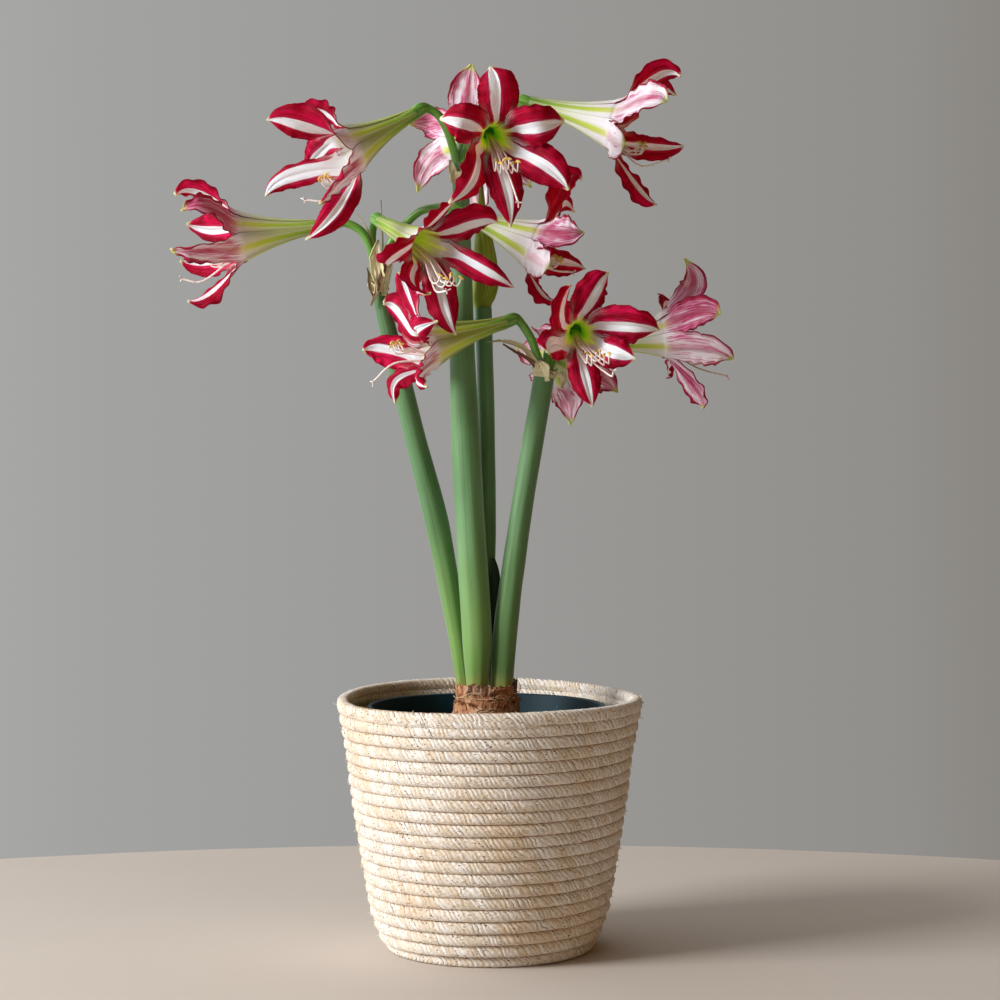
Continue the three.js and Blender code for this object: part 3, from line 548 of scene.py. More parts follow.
def huskRope():
    # maize husk wound round a core: cream to tan strips with darker ends, painted shade in the grooves and
    # between the turns, and brown specks
    r = Recipe("husk_rope", 0.82, 0.25, **{"Sheen Weight": 0.2, "Sheen Roughness": 0.6})
    spot = r.spot()
    x, y, z = spot.parts()
    _, roundRope = r.sheet()
    strip, coil, bare = r.marks("ropeStrip")
    number = strip.sum("FLOOR")
    tone = r.together(number, coil, 3).chance()
    second = r.together(number, coil, 8).chance()
    threads = r.together(strip * 3.2, roundRope * 26).grain(1, 4, 0.65)
    patch = spot.grain(16, 4, 0.6)
    crumple = spot.grain((330, 330, 520), 4, 0.6, 0.8)
    husk = tone.fade((0, 228, 212, 190), (0.3, 241, 230, 214), (0.7, 248, 242, 232), (1, 252, 249, 245))
    husk = husk.blend((224, 192, 148), patch.rise(0.46, 0.66, 0.5))
    husk = husk.blend((212, 174, 124), threads.rise(0.5, 0.74, 0.6))
    husk = husk.blend((216, 182, 136), crumple.rise(0.5, 0.68, 0.5))
    husk = husk.blend((254, 252, 248), crumple.rise(0.46, 0.34, 0.6))
    # painted shade inside the rim on the left, where the key light does not reach
    inside = (x * x + y * y).sum("SQRT").rise(0.1075, 0.104) * x.rise(-0.03, -0.07)
    inside *= patch.rise(0.3, 0.5) * z.rise(0.163, 0.168, 0.5)
    husk = husk.blend((176, 124, 66), inside)
    # the grooves between strips are darker, partly the strips' tan edges and partly painted shade, and dark
    # again with painted shade where one turn presses on the next
    groove = abs(strip.sum("FRACT") * 2 - 1)
    husk = husk.blend((188, 142, 94), groove.rise(0.7, 1, 0.4) * second)
    # painted shade: dark lines deep in some of the grooves, in patches
    grooveShade = groove.rise(0.76, 0.9) * spot.grain(120, 2).rise(0.5, 0.58) * tone.rise(0.62, 0.66)
    husk = husk.blend((104, 72, 46), grooveShade)
    # painted shade in the crevice where one turn meets the next, none where the rim's top lies bare
    husk = husk.blend((196, 150, 98), (crumple * 0.4 + bare).rise(0.44, 0.2, 0.75))
    specks = spot.stretched((230, 230, 520)).speckle().rise(0.26, 0.12)
    husk = husk.blend((98, 64, 40), specks * second.rise(0.45, 0.6))
    return r.finish(husk, crumple * 0.9 + threads * 0.6 - groove * 0.5, 0.0012, 0.9)


def potPlastic():
    # dark blue-green thin plastic with a soft shine and faint scuffs
    r = Recipe("pot_plastic", 0.5, 0.22)
    cloud = r.spot().grain(24, 4)
    scuff = r.spot().grain((300, 300, 40), 4)
    feed(r.skin["Roughness"], cloud * 0.25 + 0.4)
    colour = cloud.fade((0.3, 3, 30, 38), (0.7, 10, 52, 64))
    return r.finish(colour.blend((74, 104, 112), scuff.rise(0.66, 0.82)), scuff, 0.0002, 0.4)


def pottingSoil():
    # dark peat with paler fibres and bark bits
    r = Recipe("potting_soil", 0.95, 0.15)
    lumps = r.spot().grain(160, 5, 0.65)
    colour = lumps.fade((0.3, 24, 16, 11), (0.5, 48, 34, 24), (0.75, 88, 64, 44))
    return r.finish(colour.blend((110, 84, 58), r.spot().speckle(240).rise(0.2, 0.1)), lumps, 0.002, 0.9)


paint = {
    "inner": petalInner(), "outer": petalOuter(), "filament": filamentWhite(), "anther": antherYellow(),
    "stem": stemGreen(), **{name: veinedGreen(name, *facts) for name, facts in veined.items()},
    "bract": dryBract(), "bulb": bulbPaper(), "rope": huskRope(), "pot": potPlastic(), "soil": pottingSoil(),
}
print("materials made")


# each flower: six petals clockwise from the top one, looking into it, its stalk, the foot and mouth
# of its tube, and where its stamens end; spots are as place() takes them

def blade(mid, tip, wide, **ways):
    # a petal's middle, its tip and its width in mm, and how it differs from a plain one
    return {"mid": mid, "tip": tip, "wide": wide, **ways}


flowers = {
    "left_1": dict(petals=[
        blade((211, 197, -2), (174, 194, -4), 25, twist=34, blush=0.9),
        blade((211, 209, -34), (181, 210, -38), 23, twist=16, blush=0.75),
        blade((210, 251, -36), (170, 251, -40), 20, twist=-34, blush=0.5),
        blade((221, 286, -3), (188, 302, -3), 20, twist=-38, blush=0.9),
        blade((212, 262, 32), (180, 261, 38), 22, open=0.5),
        blade((214, 230, 34), (187, 223, 40), 25, blunt=0.3),
    ], stalk=[(374.6, 283, 4.6), (371.5, 252, 4), (362, 232, 3), (346, 223.5, 3)], base=(325, 225.5, 3),
        throat=(245, 237, 0), tone=0.6, sheenAndTint=0.7, anthers=(211, 259, -2), style=(183, 279, -2)),
    "left_2": dict(petals=[
        blade((440, 214, -70), (452, 201, -74), 24, blunt=0.2),
        blade((464, 224, -60), (497, 221, -58), 27, blunt=0.2, shift=0.15),
        blade((468, 263, -58), (512, 286, -54), 18, open=1.1, shift=-0.2),
        blade((441, 295, -62), (455, 334, -62), 23, open=0.8),
        blade((411, 281, -76), (430, 296, -84), 19, blunt=0.6, open=0.3),
        blade((404, 249, -64), (388, 263, -56), 23, blunt=0.6, open=0),
    ], stalk=[(377.6, 283, 4), (377, 258, 9), (372, 240, 18)], base=(381, 222, 2), throat=(426, 246, -50),
        turn=-24, mouth=13, throatReach=1.1, tone=0.55, sheenAndTint=0.5, anthers=(450, 280, -86),
        style=(446, 291, -92)),
    "left_3": dict(petals=[
        blade((557, 197, -24), (584, 176, -26), 25, twist=-40, curl=7, blush=0.6, open=-0.5),
        blade((558, 208, 14), (573, 212, 34), 23, open=0),
        blade((562, 262, 10), (584, 270, 18), 21, open=0),
        blade((536, 287, -24), (555, 303, -25), 16, twist=38, blush=0.9, open=0.1),
        blade((536, 260, -45), (548, 268, -51), 25, blunt=1, curl=0, blush=0.1, cup=-0.6),
        blade((556, 233, -48), (584, 231, -50), 30, blunt=0.05, blush=0.6),
    ], stalk=[(379.2, 283, 8.2), (389, 246, 7), (404, 226, 1), (421, 211, -8), (440, 207.5, -15)],
        base=(462, 213, -17), throat=(531, 243, -21), tone=0.05, sheenAndTint=0.6, anthers=(556, 262, -20),
        style=(572, 272, -20)),
    "centre_1": dict(petals=[
        blade((335, 120, -30), (291, 109, -30), 17, twist=30, blush=0.7),
        blade((308, 124, -56), (268, 120, -54), 26, twist=130, open=0, shift=-0.2),
        blade((338, 182, -58), (322, 205, -70), 20, twist=-30),
        blade((345, 199, -47), (307, 239, -48), 20, twist=-75, open=0.4),
        blade((306, 172, -14), (267, 197, -14), 19, open=1.6),
        blade((320, 153, 8), (304, 166, 22), 24, open=1),
    ], stalk=[(457.6, 167, 0.5), (453, 148, 0), (447, 130, -1), (438, 115, -2)], base=(414, 114, -8),
        throat=(352, 148, -28), tone=0.8, sheenAndTint=0.6, anthers=(326, 181, -34), style=(306, 200, -38),
        styleBend=(327, 200, -38)),
    "centre_2": dict(petals=[
        blade((498.5, 92, -79), (491, 70, -72), 27, blunt=1, open=0, shift=-0.15),
        blade((533, 128, -88), (562, 121, -78), 30, blunt=1, open=0),
        blade((541, 163, -81), (568, 189, -84), 27, blunt=0.3, open=0.7),
        blade((506, 186, -84), (510, 226, -82), 25, blunt=0, open=0.5),
        blade((476, 171, -86), (449, 202, -94), 24, blunt=0.1, open=0.5),
        blade((466, 124, -88), (442, 119, -80), 27, blunt=0.8, open=0),
    ], stalk=[(461.6, 167, -0.4), (465, 152, 6)], base=(488, 133, -7), throat=(496, 139, -60), mouth=13,
        sheenAndTint=0.2, anthers=(507, 165, -92), style=(518, 202, -102), styleBend=(508, 174, -82)),
    "centre_3": dict(petals=[
        blade((643, 84, -2), (682, 76, -4), 24, twist=-46, blush=0.7),
        blade((650, 90, 30), (676, 96, 38), 22, open=0),
        blade((646, 147, 30), (684, 147, 38), 20, open=0),
        blade((631, 180, -2), (656, 206, -4), 20, twist=42, blush=0.95),
        blade((613, 141, -36), (625, 144, -44), 25, blunt=1, curl=0, blush=0.1, cup=-0.6),
        blade((640, 100, -34), (667, 101, -46), 26, blunt=0.8, blush=0.35),
    ], stalk=[(462, 167, 4), (470, 140, 8), (490, 116, 10), (508, 103, 9)], base=(530, 103, 6),
        throat=(610, 124, -2), tone=0, sheenAndTint=0.6, anthers=(641, 148, -2), style=(667, 160, -2),
        styleBend=(641, 166, -2)),
    "centre_4": dict(petals=[
        blade((467, 92, 86), (471, 66, 80), 27, blunt=0.5, blush=0.5),
        blade((431, 124, 88), (410, 124, 82), 24, blush=0.6),
        blade((436, 157, 88), (418, 190, 84), 22, blunt=0.2, blush=0.4),
        blade((473, 184, 82), (477, 216, 76), 21, blush=0.2),
        blade((507, 163, 86), (530, 186, 88), 23),
        blade((505, 116, 88), (524, 104, 94), 23),
    ], stalk=[(458.2, 167, 4.5), (458.7, 156, 6)], base=(463, 146, 21), throat=(466, 139, 66),
        anthers=(468, 160, 96), style=(468, 176, 108)),
    "right_1": dict(petals=[
        blade((411, 300, -36), (398, 271, -34), 17, twist=60, open=-0.15),
        blade((417, 331, -74), (438, 321, -88), 20, open=0),
        blade((418, 376, -68), (429, 386, -84), 17, open=0.5),
        blade((402, 377, -40), (396, 403, -42), 18, twist=-50, open=0.3),
        blade((396, 352, -14), (363, 352, -12), 24, blunt=0.2, open=0.9),
        blade((401, 314, -12), (383, 303, -6), 27, blunt=0.4, open=0),
    ], stalk=[(542.2, 371, -1.8), (536, 352, -4), (528.5, 334, -6)], base=(505, 322.5, -12),
        throat=(430, 344, -36), tone=0.9, sheenAndTint=0.8, anthers=(397, 347, -42), style=(374, 381, -46),
        styleBend=(393, 364, -45)),
    "right_2": dict(petals=[
        blade((591, 294, -76), (606, 273, -73), 23, blunt=0.5, open=0.2, shift=0.25),
        blade((623, 326, -80), (658, 329, -76), 30, blunt=0.3, open=0.4),
        blade((612, 352, -84), (635, 359, -92), 22, blunt=0.6, open=1.25),
        blade((586, 379, -80), (592, 406, -82), 22, blunt=0.2, open=0.4),
        blade((554, 344, -80), (546, 354, -92), 22, blunt=0.8, open=1.4),
        blade((561, 311, -83), (569, 285, -82), 22, blunt=0.3, open=0.3),
    ], stalk=[(546.2, 371, -2.6), (548, 352, 3), (556, 338, 8)], base=(575, 330, -7),
        throat=(580, 335, -58), mouth=12.5, sheenAndTint=0.9, anthers=(598, 357, -98), style=(613, 372, -104)),
    "right_3": dict(petals=[
        blade((691, 292, 12), (684, 259, 14), 22, twist=55, blush=0.6),
        blade((662, 309, 44), (671, 303, 64), 20),
        blade((671, 362, 40), (666, 373, 60), 18),
        blade((680, 371, 6), (702, 408, 4), 18, twist=-45, blush=0.6),
        blade((694, 347, -19), (732, 361, -22), 26, blunt=0.2, blush=0.42),
        blade((692, 314, -14), (720, 314, -20), 25, blunt=0.6, blush=0.8),
    ], stalk=[(547.6, 371, 2), (556, 355, 4), (575, 347.5, 3)], base=(598, 346, 0), throat=(659, 337, 6),
        mouth=15, anthers=(702, 348, 12), style=(726, 376, 12), styleBend=(700, 369, 12)),
    "right_4": dict(petals=[
        blade((551, 332, 92), (535, 330, 112), 22, blush=0.5),
        blade((533, 352, 96), (516, 347, 108), 22, blush=0.5),
        blade((540, 384, 92), (531, 379, 112), 20),
        blade((567, 395, 89), (570, 424, 88), 24, blush=0.45),
        blade((595, 377, 85), (617, 392, 94), 22, blush=0.7),
        blade((588, 345, 94), (600, 332, 108), 22),
    ], stalk=[(543.6, 371, 3.4), (546.5, 362, 5)], base=(552, 358, 22), throat=(560, 363, 70),
        anthers=(566, 382, 100), style=(568, 395, 112)),
}


bloom = {
    "tubeFoot": 4.8,        # mm, radius of the tube where it leaves the ovary
    "throatRadius": 17.5,   # mm, where the six petals part
    "tubeShare": 0.3,       # of each petal's length in rows
    "across": 20,           # faces across a petal
    "along": 60,            # faces along a petal
    "thickness": 0.7,       # mm
    "ruffle": 1.9,          # mm, waves of the margin
    "serration": 0.05,      # share of the width
    "midribDepth": 0.6,     # mm
    "keel": 1.1,            # mm, the halves stand up beside the midrib
    "antherLength": 5.2,    # mm
    # half widths from the throat to the tip, of a pointed and of a blunt petal, and how deep it is cupped
    "pointed": [0.8, 0.84, 0.91, 0.99, 1.04, 1.05, 1.01, 0.9, 0.7, 0.4, 0.04],
    "blunt": [0.8, 0.84, 0.91, 1.0, 1.07, 1.1, 1.09, 1.05, 0.96, 0.76, 0.12],
    "cup": [1.5, 2.4, 2.4, 1.0, -0.4, -1.6, -2.4, -2.8, -2.6, -2.0, -1.4],
    # how wide each petal's white stripe opens
    "open": (0, 0.1, 0.7, 0.6, 0.7, 0.1),
}
tubeRows = round(bloom["along"] * bloom["tubeShare"])


class Bloom:
    # where one flower sits: its foot, its mouth and the directions round its tube
    def __init__(self, flower):
        self.base, self.throat = place(*flower["base"]), place(*flower["throat"])
        axis = self.throat - self.base
        self.length = axis.length
        self.axis = axis.normalized()
        self.top = (upward - self.axis * upward.dot(self.axis)).normalized()
        self.side = self.top.cross(self.axis)
        self.turn = flower.get("turn", 0)
        self.mouth = flower.get("mouth", bloom["throatRadius"])

    def outward(self, degrees):
        angle = math.radians(degrees + self.turn)
        return self.top * math.cos(angle) + self.side * math.sin(angle)


def petalRows(b, spec, number):
    # every row of a petal from the foot of the tube to the tip; the blade leaves in line with the tube
    turn = 60 * number
    outer = number % 2 == 0
    lapSign = 1 if outer else -1
    out, across = b.outward(turn), b.outward(turn + 90)
    start = b.throat + out * (b.mouth * mm)
    leave = (b.axis + out * max(0.42, 24.1 * mm / b.length)).normalized()
    mid, tip = place(*spec["mid"]), place(*spec["tip"])
    near = (mid - start).length
    share = min(0.64, max(0.36, near / (near + (tip - mid).length)))
    first = start + leave * min(15 * mm, 0.42 * near)
    rest = 1 - share
    second = mid - start * rest ** 3 - first * (3 * rest * rest * share) - tip * share ** 3
    second = second / (3 * rest * share * share)
    rows = []
    for row in range(tubeRows + 1):
        t = row / tubeRows
        radius = bloom["tubeFoot"] + (b.mouth - bloom["tubeFoot"]) * t ** 1.9
        rows.append({
            "tube": True, "share": t, "radius": (radius + 0.45 * lapSign * ease(t, 0, 0.3)) * mm,
            "centre": b.base + b.axis * (b.length * t),
            "half": math.radians(mixed(31.5, 37 if outer else 34, ease(t, 0.1, 1))),
        })
    for row in range(1, bloom["along"] - tubeRows + 1):
        w = row / (bloom["along"] - tubeRows)
        r = 1 - w
        centre = start * r ** 3 + first * (3 * r * r * w) + second * (3 * r * w * w) + tip * w ** 3
        tangent = (first - start) * (r * r) + (second - first) * (2 * r * w) + (tip - second) * (w * w)
        tangent.normalize()
        across = (across - tangent * across.dot(tangent)).normalized()
        twist = math.radians(spec.get("twist", 0) * ease(w, 0, 0.75))
        level = Matrix.Rotation(twist, 3, tangent) @ across
        lapped = (1.3 * max(0, 1 - w / 0.6) ** 1.5 - 0.85 * (1 - ease(w, 0, 0.06))) * lapSign * mm
        rows.append({
            "tube": False, "share": w, "centre": centre + out * lapped, "level": level,
            "face": level.cross(tangent), "half": rows[tubeRows]["half"],
            "height": leave.dot(b.axis) * (centre - start).length,
            "swell": leave.dot(out) * (centre - start).length + lapped,
        })
    return rows


def petal(name, b, flower, number, seed):
    spec = flower["petals"][number]
    rows = petalRows(b, spec, number)
    curl = spec.get("curl", 3 if number % 2 == 0 else 2)
    phase = seed * 3.7

    def spot(u, v):
        row = rows[round(v * bloom["along"])]
        w = row["share"]
        spoke = b.outward(60 * number + math.degrees(row["half"]) * u)
        ridge = bloom["midribDepth"] * math.exp(-(u / 0.1) ** 2) * 0.6 * mm
        if row["tube"]:
            return row["centre"] + spoke * (row["radius"] + ridge * ease(w, 0.1, 0.5))
        edge = abs(u)
        side = 1 if u > 0 else -1
        teeth = 1 + bloom["serration"] * wobble(w * 36, phase + side * 9) * edge * ease(w, 0.12, 0.3)
        widths = between(bloom["pointed"], w), between(bloom["blunt"], w)
        half = spec["wide"] * mm / 2 * mixed(*widths, spec.get("blunt", 0.1)) * teeth
        bend = between(bloom["cup"], w)
        lift = (bend if bend > 0 else bend * spec.get("cup", 1)) * u * u
        wave = wobble(w * 8 + phase, side * 3 + phase) * 1.6 + 0.55 * math.sin(w * 34 + phase * side)
        lift += bloom["ruffle"] * wave * edge ** 3 * ease(w, 0.1, 0.35) * (1 - 0.5 * ease(w, 0.85, 1))
        lift += 0.22 * math.cos(u * 11 + phase) * ease(w, 0.05, 0.3) * (1 - ease(w, 0.8, 1))
        lift -= bloom["midribDepth"] * math.exp(-(u / 0.11) ** 2) * (1 - ease(w, 0.9, 1))
        lift += bloom["keel"] * 4 * edge * (1 - edge) * ease(w, 0.08, 0.4) * (1 - ease(w, 0.85, 1))
        lift += curl * ease(w, 0.8, 1.05) * max(0, w - 0.8) * 5
        flat = row["centre"] + row["level"] * (u * half) + row["face"] * (lift * mm)
        cone = b.throat + spoke * (b.mouth * mm + row["swell"] + ridge) + b.axis * row["height"]
        return cone.lerp(flat, ease(w, 0.02, 0.34))

    piece = bentGrid(name, bloom["across"], bloom["along"], spot)
    opened = spec.get("open", bloom["open"][number])
    markAll(piece, "petalMood", spec.get("blush", 0.4), opened, (seed * 0.618) % 1)
    markAll(piece, "petalStripe", spec.get("shift", 0), flower.get("throatReach", 1), flower.get("tone", 0.3))
    # how strong the brighter magenta patches are on this flower, partly painted sheen
    markAll(piece, "petalSheenAndTint", flower.get("sheenAndTint", 0.4))
    return piece


def petalsOf(name, flower):
    b = Bloom(flower)
    seed = sum(map(ord, name))
    piece = joined(f"petals_{name}", [petal(f"{name}_{k}", b, flower, k, seed + 7 * k) for k in range(6)])
    piece.data.materials.append(paint["inner"])
    piece.data.materials.append(paint["outer"])
    thicken(piece, bloom["thickness"], material_offset=1, material_offset_rim=1)
    settle(piece, [f"flower_{name}"])


def antherShape():
    # one pollen sac, a bent bean with a groove, copied for every filament
    length = bloom["antherLength"] * mm
    path = [Vector((length * (k / 8 - 0.5), 0, -0.9 * mm * (1 - (k / 4 - 1) ** 2))) for k in range(9)]
    radii = [(0.35 + 0.75 * math.sin(math.pi * k / 8) ** 0.7) * mm for k in range(9)]
    return sweep("antherMaster", path, radii, 8, 0.8, (0, 1, 0),
                 lambda angle, v: -0.25 * mm * math.exp(-((angle - math.pi) / 0.5) ** 2))


antherMaster = antherShape()
# where the style and the six filaments lie in their fan, sideways and upwards
fan = [(0, 0), (1.5, -1.6), (2.5, -0.2), (0.5, 1.2), (-0.5, 1.2), (-2.5, -0.2), (-1.5, -1.6)]
# a lobe of the style's end, ahead and outwards
stigma = {"lobe": [(0, 0), (1.4, 1.0), (2.2, 2.7)], "radii": (0.55, 0.55, 0.5, 0.5, 0.5, 0.45, 0.35)}


def tapered(name, path, thick, thin, around):
    # a thread along a path, thick at its foot and thin at its end
    last = len(path) - 1
    return sweep(name, path, [mixed(thick, thin, k / last) * mm for k in range(last + 1)], around)


def stamensOf(name, flower):
    # the style and six filaments, each from the foot of the tube to its own place in the mouth
    b = Bloom(flower)
    held, end = place(*flower["anthers"]), place(*flower["style"])
    chance = random.Random(sum(map(ord, name)))
    threads, sacs = [], []
    for number, (aside, height) in enumerate(fan):
        spread = aside * 3 * mm
        foot = b.base + b.axis * 3 * mm + b.side * (spread * 0.25)
        sag = (0.8 * height - (6.5 if number else 10.5)) * mm
        lip = b.throat + b.axis * 2 * mm + b.side * (spread * 0.5) + b.top * sag
        if number == 0:
            bend = end - b.axis * 12 * mm - b.top * 4 * mm
            if "styleBend" in flower:
                bend = place(*flower["styleBend"])
            path = smoothPath([foot, lip, bend, end], 30)
            threads.append(tapered("style", path, 0.85, 0.7, 8))
            tip = (path[-1] - path[-3]).normalized()
            for lobe in range(3):
                angle = 2 * math.pi * lobe / 3 + 0.5
                away = b.side * math.cos(angle) + b.top * math.sin(angle)
                spots = [end + tip * (ahead * mm) + away * (apart * mm) for ahead, apart in stigma["lobe"]]
                radii = [radius * mm for radius in stigma["radii"]]
                threads.append(sweep("stigma", smoothPath(spots, 7), radii, 6))
            continue
        reach = (2 if number % 2 == 0 else -2) * mm
        spot = held + b.side * spread + b.axis * reach + b.top * (height + 2.2) * mm
        bend = spot - b.axis * (9 + chance.uniform(-1, 1)) * mm - b.top * 7 * mm
        low = spot - b.axis * 1.5 * mm - b.top * 5.5 * mm
        path = smoothPath([foot, lip, bend, low, spot], 34)
        threads.append(tapered("filament", path, 0.8, 0.55, 7))
        lean = b.axis * chance.uniform(0.3, 1) + b.side * chance.uniform(-0.7, 0.7)
        lean = (lean + b.top * chance.uniform(-0.3, 0.5)).normalized()
        beside = lean.cross(b.top).normalized()
        turned = facing(lean, beside, lean.cross(beside))
        sacs.append(copyOf(antherMaster, Matrix.Translation(spot) @ turned))
    for thread in threads:
        thread.data.materials.append(paint["filament"])
    for sac in sacs:
        sac.data.materials.append(paint["anther"])
    settle(joined(f"filaments_{name}", threads + sacs), [f"stamens_{name}"])


for name, flower in flowers.items():
    petalsOf(name, flower)
    stamensOf(name, flower)
bpy.data.objects.remove(antherMaster)
print("flowers made")


# stems and flower stalks: two spots in the bulb in mm, then the spots seen above it

scapes = {
    "left": {
        "spots": [(-18.6, 5.4, 172), (-19.2, 5.4, 192)],
        "seen": [(440.3, 540, 6), (415.3, 439, 6), (398.8, 372, 6), (388, 330, 6), (376.5, 280, 6)],
        "radii": [4.9, 5.3, 8.7, 8, 7.6, 6.5, 5.7], "greens": (0.42, 1),
    },
    "centre": {
        "spots": [(-8.8, -8.8, 172), (-9, -8.8, 192)],
        "seen": [(477, 640, -8.5), (471, 540, -6), (465.2, 439, -3), (462, 339, 0), (461, 200, 2),
                 (459.5, 163, 2)],
        "radii": [7.3, 7.8, 10.9, 10.9, 10.6, 9.2, 6.4, 6.2], "greens": (0, 0.9),
    },
    "right": {
        "spots": [(8.9, -3.4, 172), (9.2, -3.4, 192)],
        "seen": [(504.5, 640, -3.2), (516.8, 540, -2), (533.2, 439, 0), (540, 400, 0), (545, 368, 0)],
        "radii": [7.9, 8.3, 8.9, 8.2, 8, 7.8, 7.7], "greens": (0.25, 0.35),
    },
    "back": {
        "spots": [(-1.5, 13, 172), (-1.7, 13, 192)],
        "seen": [(487, 540, 14), (486.5, 439, 15), (484.8, 360, 17), (482.8, 308, 18)],
        "radii": [4.4, 4.8, 6.3, 6.4, 6.3, 6.4], "greens": (0.1, 1),
    },
}


def scapeOf(name, scape):
    spots = [Vector(spot) * mm for spot in scape["spots"]] + [place(*spot) for spot in scape["seen"]]
    path, radii = smoothPath(spots, 110, scape["radii"])

    def relief(angle, v):
        lines = 0.12 * math.sin(angle * 9 + v * 3)
        return (lines + 0.35 * wobble(math.cos(angle) * 1.5, math.sin(angle) * 1.5, v * 9)) * mm

    body = sweep(f"scape_{name}_body", path, radii, 36, relief=relief)
    body.data.materials.append(paint["stem"])
    markAll(body, "stemTone", *scape["greens"])
    stalks = [stalkOf(key, flower) for key, flower in flowers.items() if key.startswith(name)]
    settle(joined(f"stem_{name}", [body] + stalks), [f"scape_{name}"])


def stalkOf(name, flower):
    # a bent stalk that swells into the three-sided ovary under its flower
    b = Bloom(flower)
    spots = [place(*spot) for spot in flower["stalk"]]
    path = smoothPath(spots + [b.base - b.axis * 9 * mm, b.base + b.axis * 0.4 * mm], 60)
    left = [0.0]
    for near, far in zip(path[:0:-1], path[-2::-1]):
        left.insert(0, left[0] + (near - far).length / mm)
    sizes = [(3.1 + 1.8 * ease(15 - space, 0, 9) - 0.25 * ease(3 - space, 0, 3)) * mm for space in left]

    def ribs(angle, v):
        return (0.3 * math.cos(angle * 3) * ease(v, 0.6, 0.85) + 0.08 * math.sin(angle * 8)) * mm

    stalk = sweep(f"stalk_{name}", path, sizes, 20, relief=ribs)
    stalk.data.materials.append(paint["stalk"])
    return stalk


for name, scape in scapes.items():
    scapeOf(name, scape)
print("stems made")


# bud, leaf and withered bracts

bud = {
    "foot": (482.8, 308, 18), "below": (484.8, 360, 17),
    "seen": [(485.5, 285, 18), (485.3, 266, 19), (484, 247, 20), (482.5, 227, 21), (481.6, 205, 22),
             (481.3, 180, 23)],
    "radii": [6.2, 8.4, 9.5, 9.1, 7.6, 5.2, 2.9, 1.2],
}
leaf = {
    "spots": [(-0.3, 5.8, 192.8), (0.5, 6, 225), (3.3, 6, 255), (3.5, 6, 275), (2.5, 6, 287)],
    "halves": [3, 4.2, 4.6, 3.8, 1.0], "thickness": 1.1,
}


def budPiece():
    foot = place(*bud["foot"])
    rise = (foot - place(*bud["below"])).normalized()
    spots = [foot + rise * 0.3 * mm, foot + rise * 6 * mm] + [place(*spot) for spot in bud["seen"]]

    def valves(angle, v):
        # one valve laps the other along a line that runs up the front
        front = math.radians(262) + 0.5 * (0.35 - v)
        near = math.atan2(math.sin(angle - front), math.cos(angle - front))
        step = 0.55 * ease(near, -0.05, 0.1) * (1 - ease(near, 0.1, 2.6))
        crease = -0.5 * math.exp(-((near + 0.06) / 0.1) ** 2) * (1 - ease(v, 0.8, 1))
        return (step + crease + 0.08 * math.sin(angle * 15)) * mm * (1 - 0.7 * ease(v, 0.75, 1))

    path, radii = smoothPath(spots, 90, bud["radii"])
    settle(sweep("bud_valves", path, radii, 48, 0.8, relief=valves), ["closed_bud"], paint["bud"])


def leafPiece():
    spots = [Vector(spot) * mm for spot in leaf["spots"]]

    def spot(u, v):
        half = between(leaf["halves"], v) * mm * (1 if v < 0.97 else 0.5)
        keel = 1.3 * (u * u - 0.5) * mm
        return between(spots, v) + Vector((u * half, keel - 0.3 * mm, 0))

    piece = bentGrid("leaf_blade", 14, 50, spot)
    thicken(piece, leaf["thickness"])
    settle(piece, ["young_leaf"], paint["leaf"])


budPiece()
leafPiece()


# a ring round the top of each stem, from one spot to another with a radius, and strips that hang
# from it: spots, half widths from end to end in mm, and how brown, 0 to 1
bracts = {
    "left": [
        ((379.9, 291, 6), (377.8, 282.5, 6), 6.3),
        ([(379.4, 292, -1.6), (378, 274, -4.4), (375.5, 256, -6.5), (378, 240, -6)], [2.6, 4.6, 4.4, 0.8], 0),
        ([(371, 306, -2.6), (378, 290, -2.8), (384, 272, -5), (391, 254, -6)], [0.6, 2.2, 2.6, 0.9], 0.9),
        ([(384, 296, 0), (387, 276, 0), (389, 262, -1), (386, 245, -2)], [1.8, 3.0, 2.4, 0.5], 0.1),
        ([(374, 296, 2), (370.5, 284, 0), (369, 274, -1), (367, 268, -1)], [1.2, 2.0, 1.4, 0.4], 0.85),
        ([(379, 290, 3), (377, 255, 4), (368, 230, 4), (357, 214, 4)], [1.6, 1.0, 0.55, 0.3], 0.35),
        ([(381, 288, 8), (383, 250, 12), (382, 225, 14), (381, 200, 14)], [1.6, 1.0, 0.5, 0.3], 0.3),
    ],
    "centre": [
        ((460.1, 180, 2), (459.8, 173, 2), 6.6),
        ([(453.4, 183, -4.4), (452.5, 172, -5.4), (450, 160, -6.4)], [1.6, 3.2, 1.0], 0.2),
    ],
    "right": [
        ((543.9, 376.5, 0), (545, 369, 0), 7.8),
        ([(548, 381, -8), (544, 372, -9.4), (538, 361, -10.5)], [2.4, 6.2, 2.6], 0.1),
        ([(537, 364, -6), (522, 347, -8), (505, 341, -9), (487, 342, -9)], [2.0, 2.2, 1.4, 0.4], 0.25),
        ([(538, 368, -6), (527, 358, -8), (514, 351, -9), (503, 344, -9)], [1.6, 1.3, 1.0, 0.6], 0.95),
        ([(551, 374, -7), (558, 372, -12), (563, 378, -14), (562, 388, -14)], [1.8, 3.0, 2.2, 0.8], 0.55),
    ],
}
bractThickness = 0.45


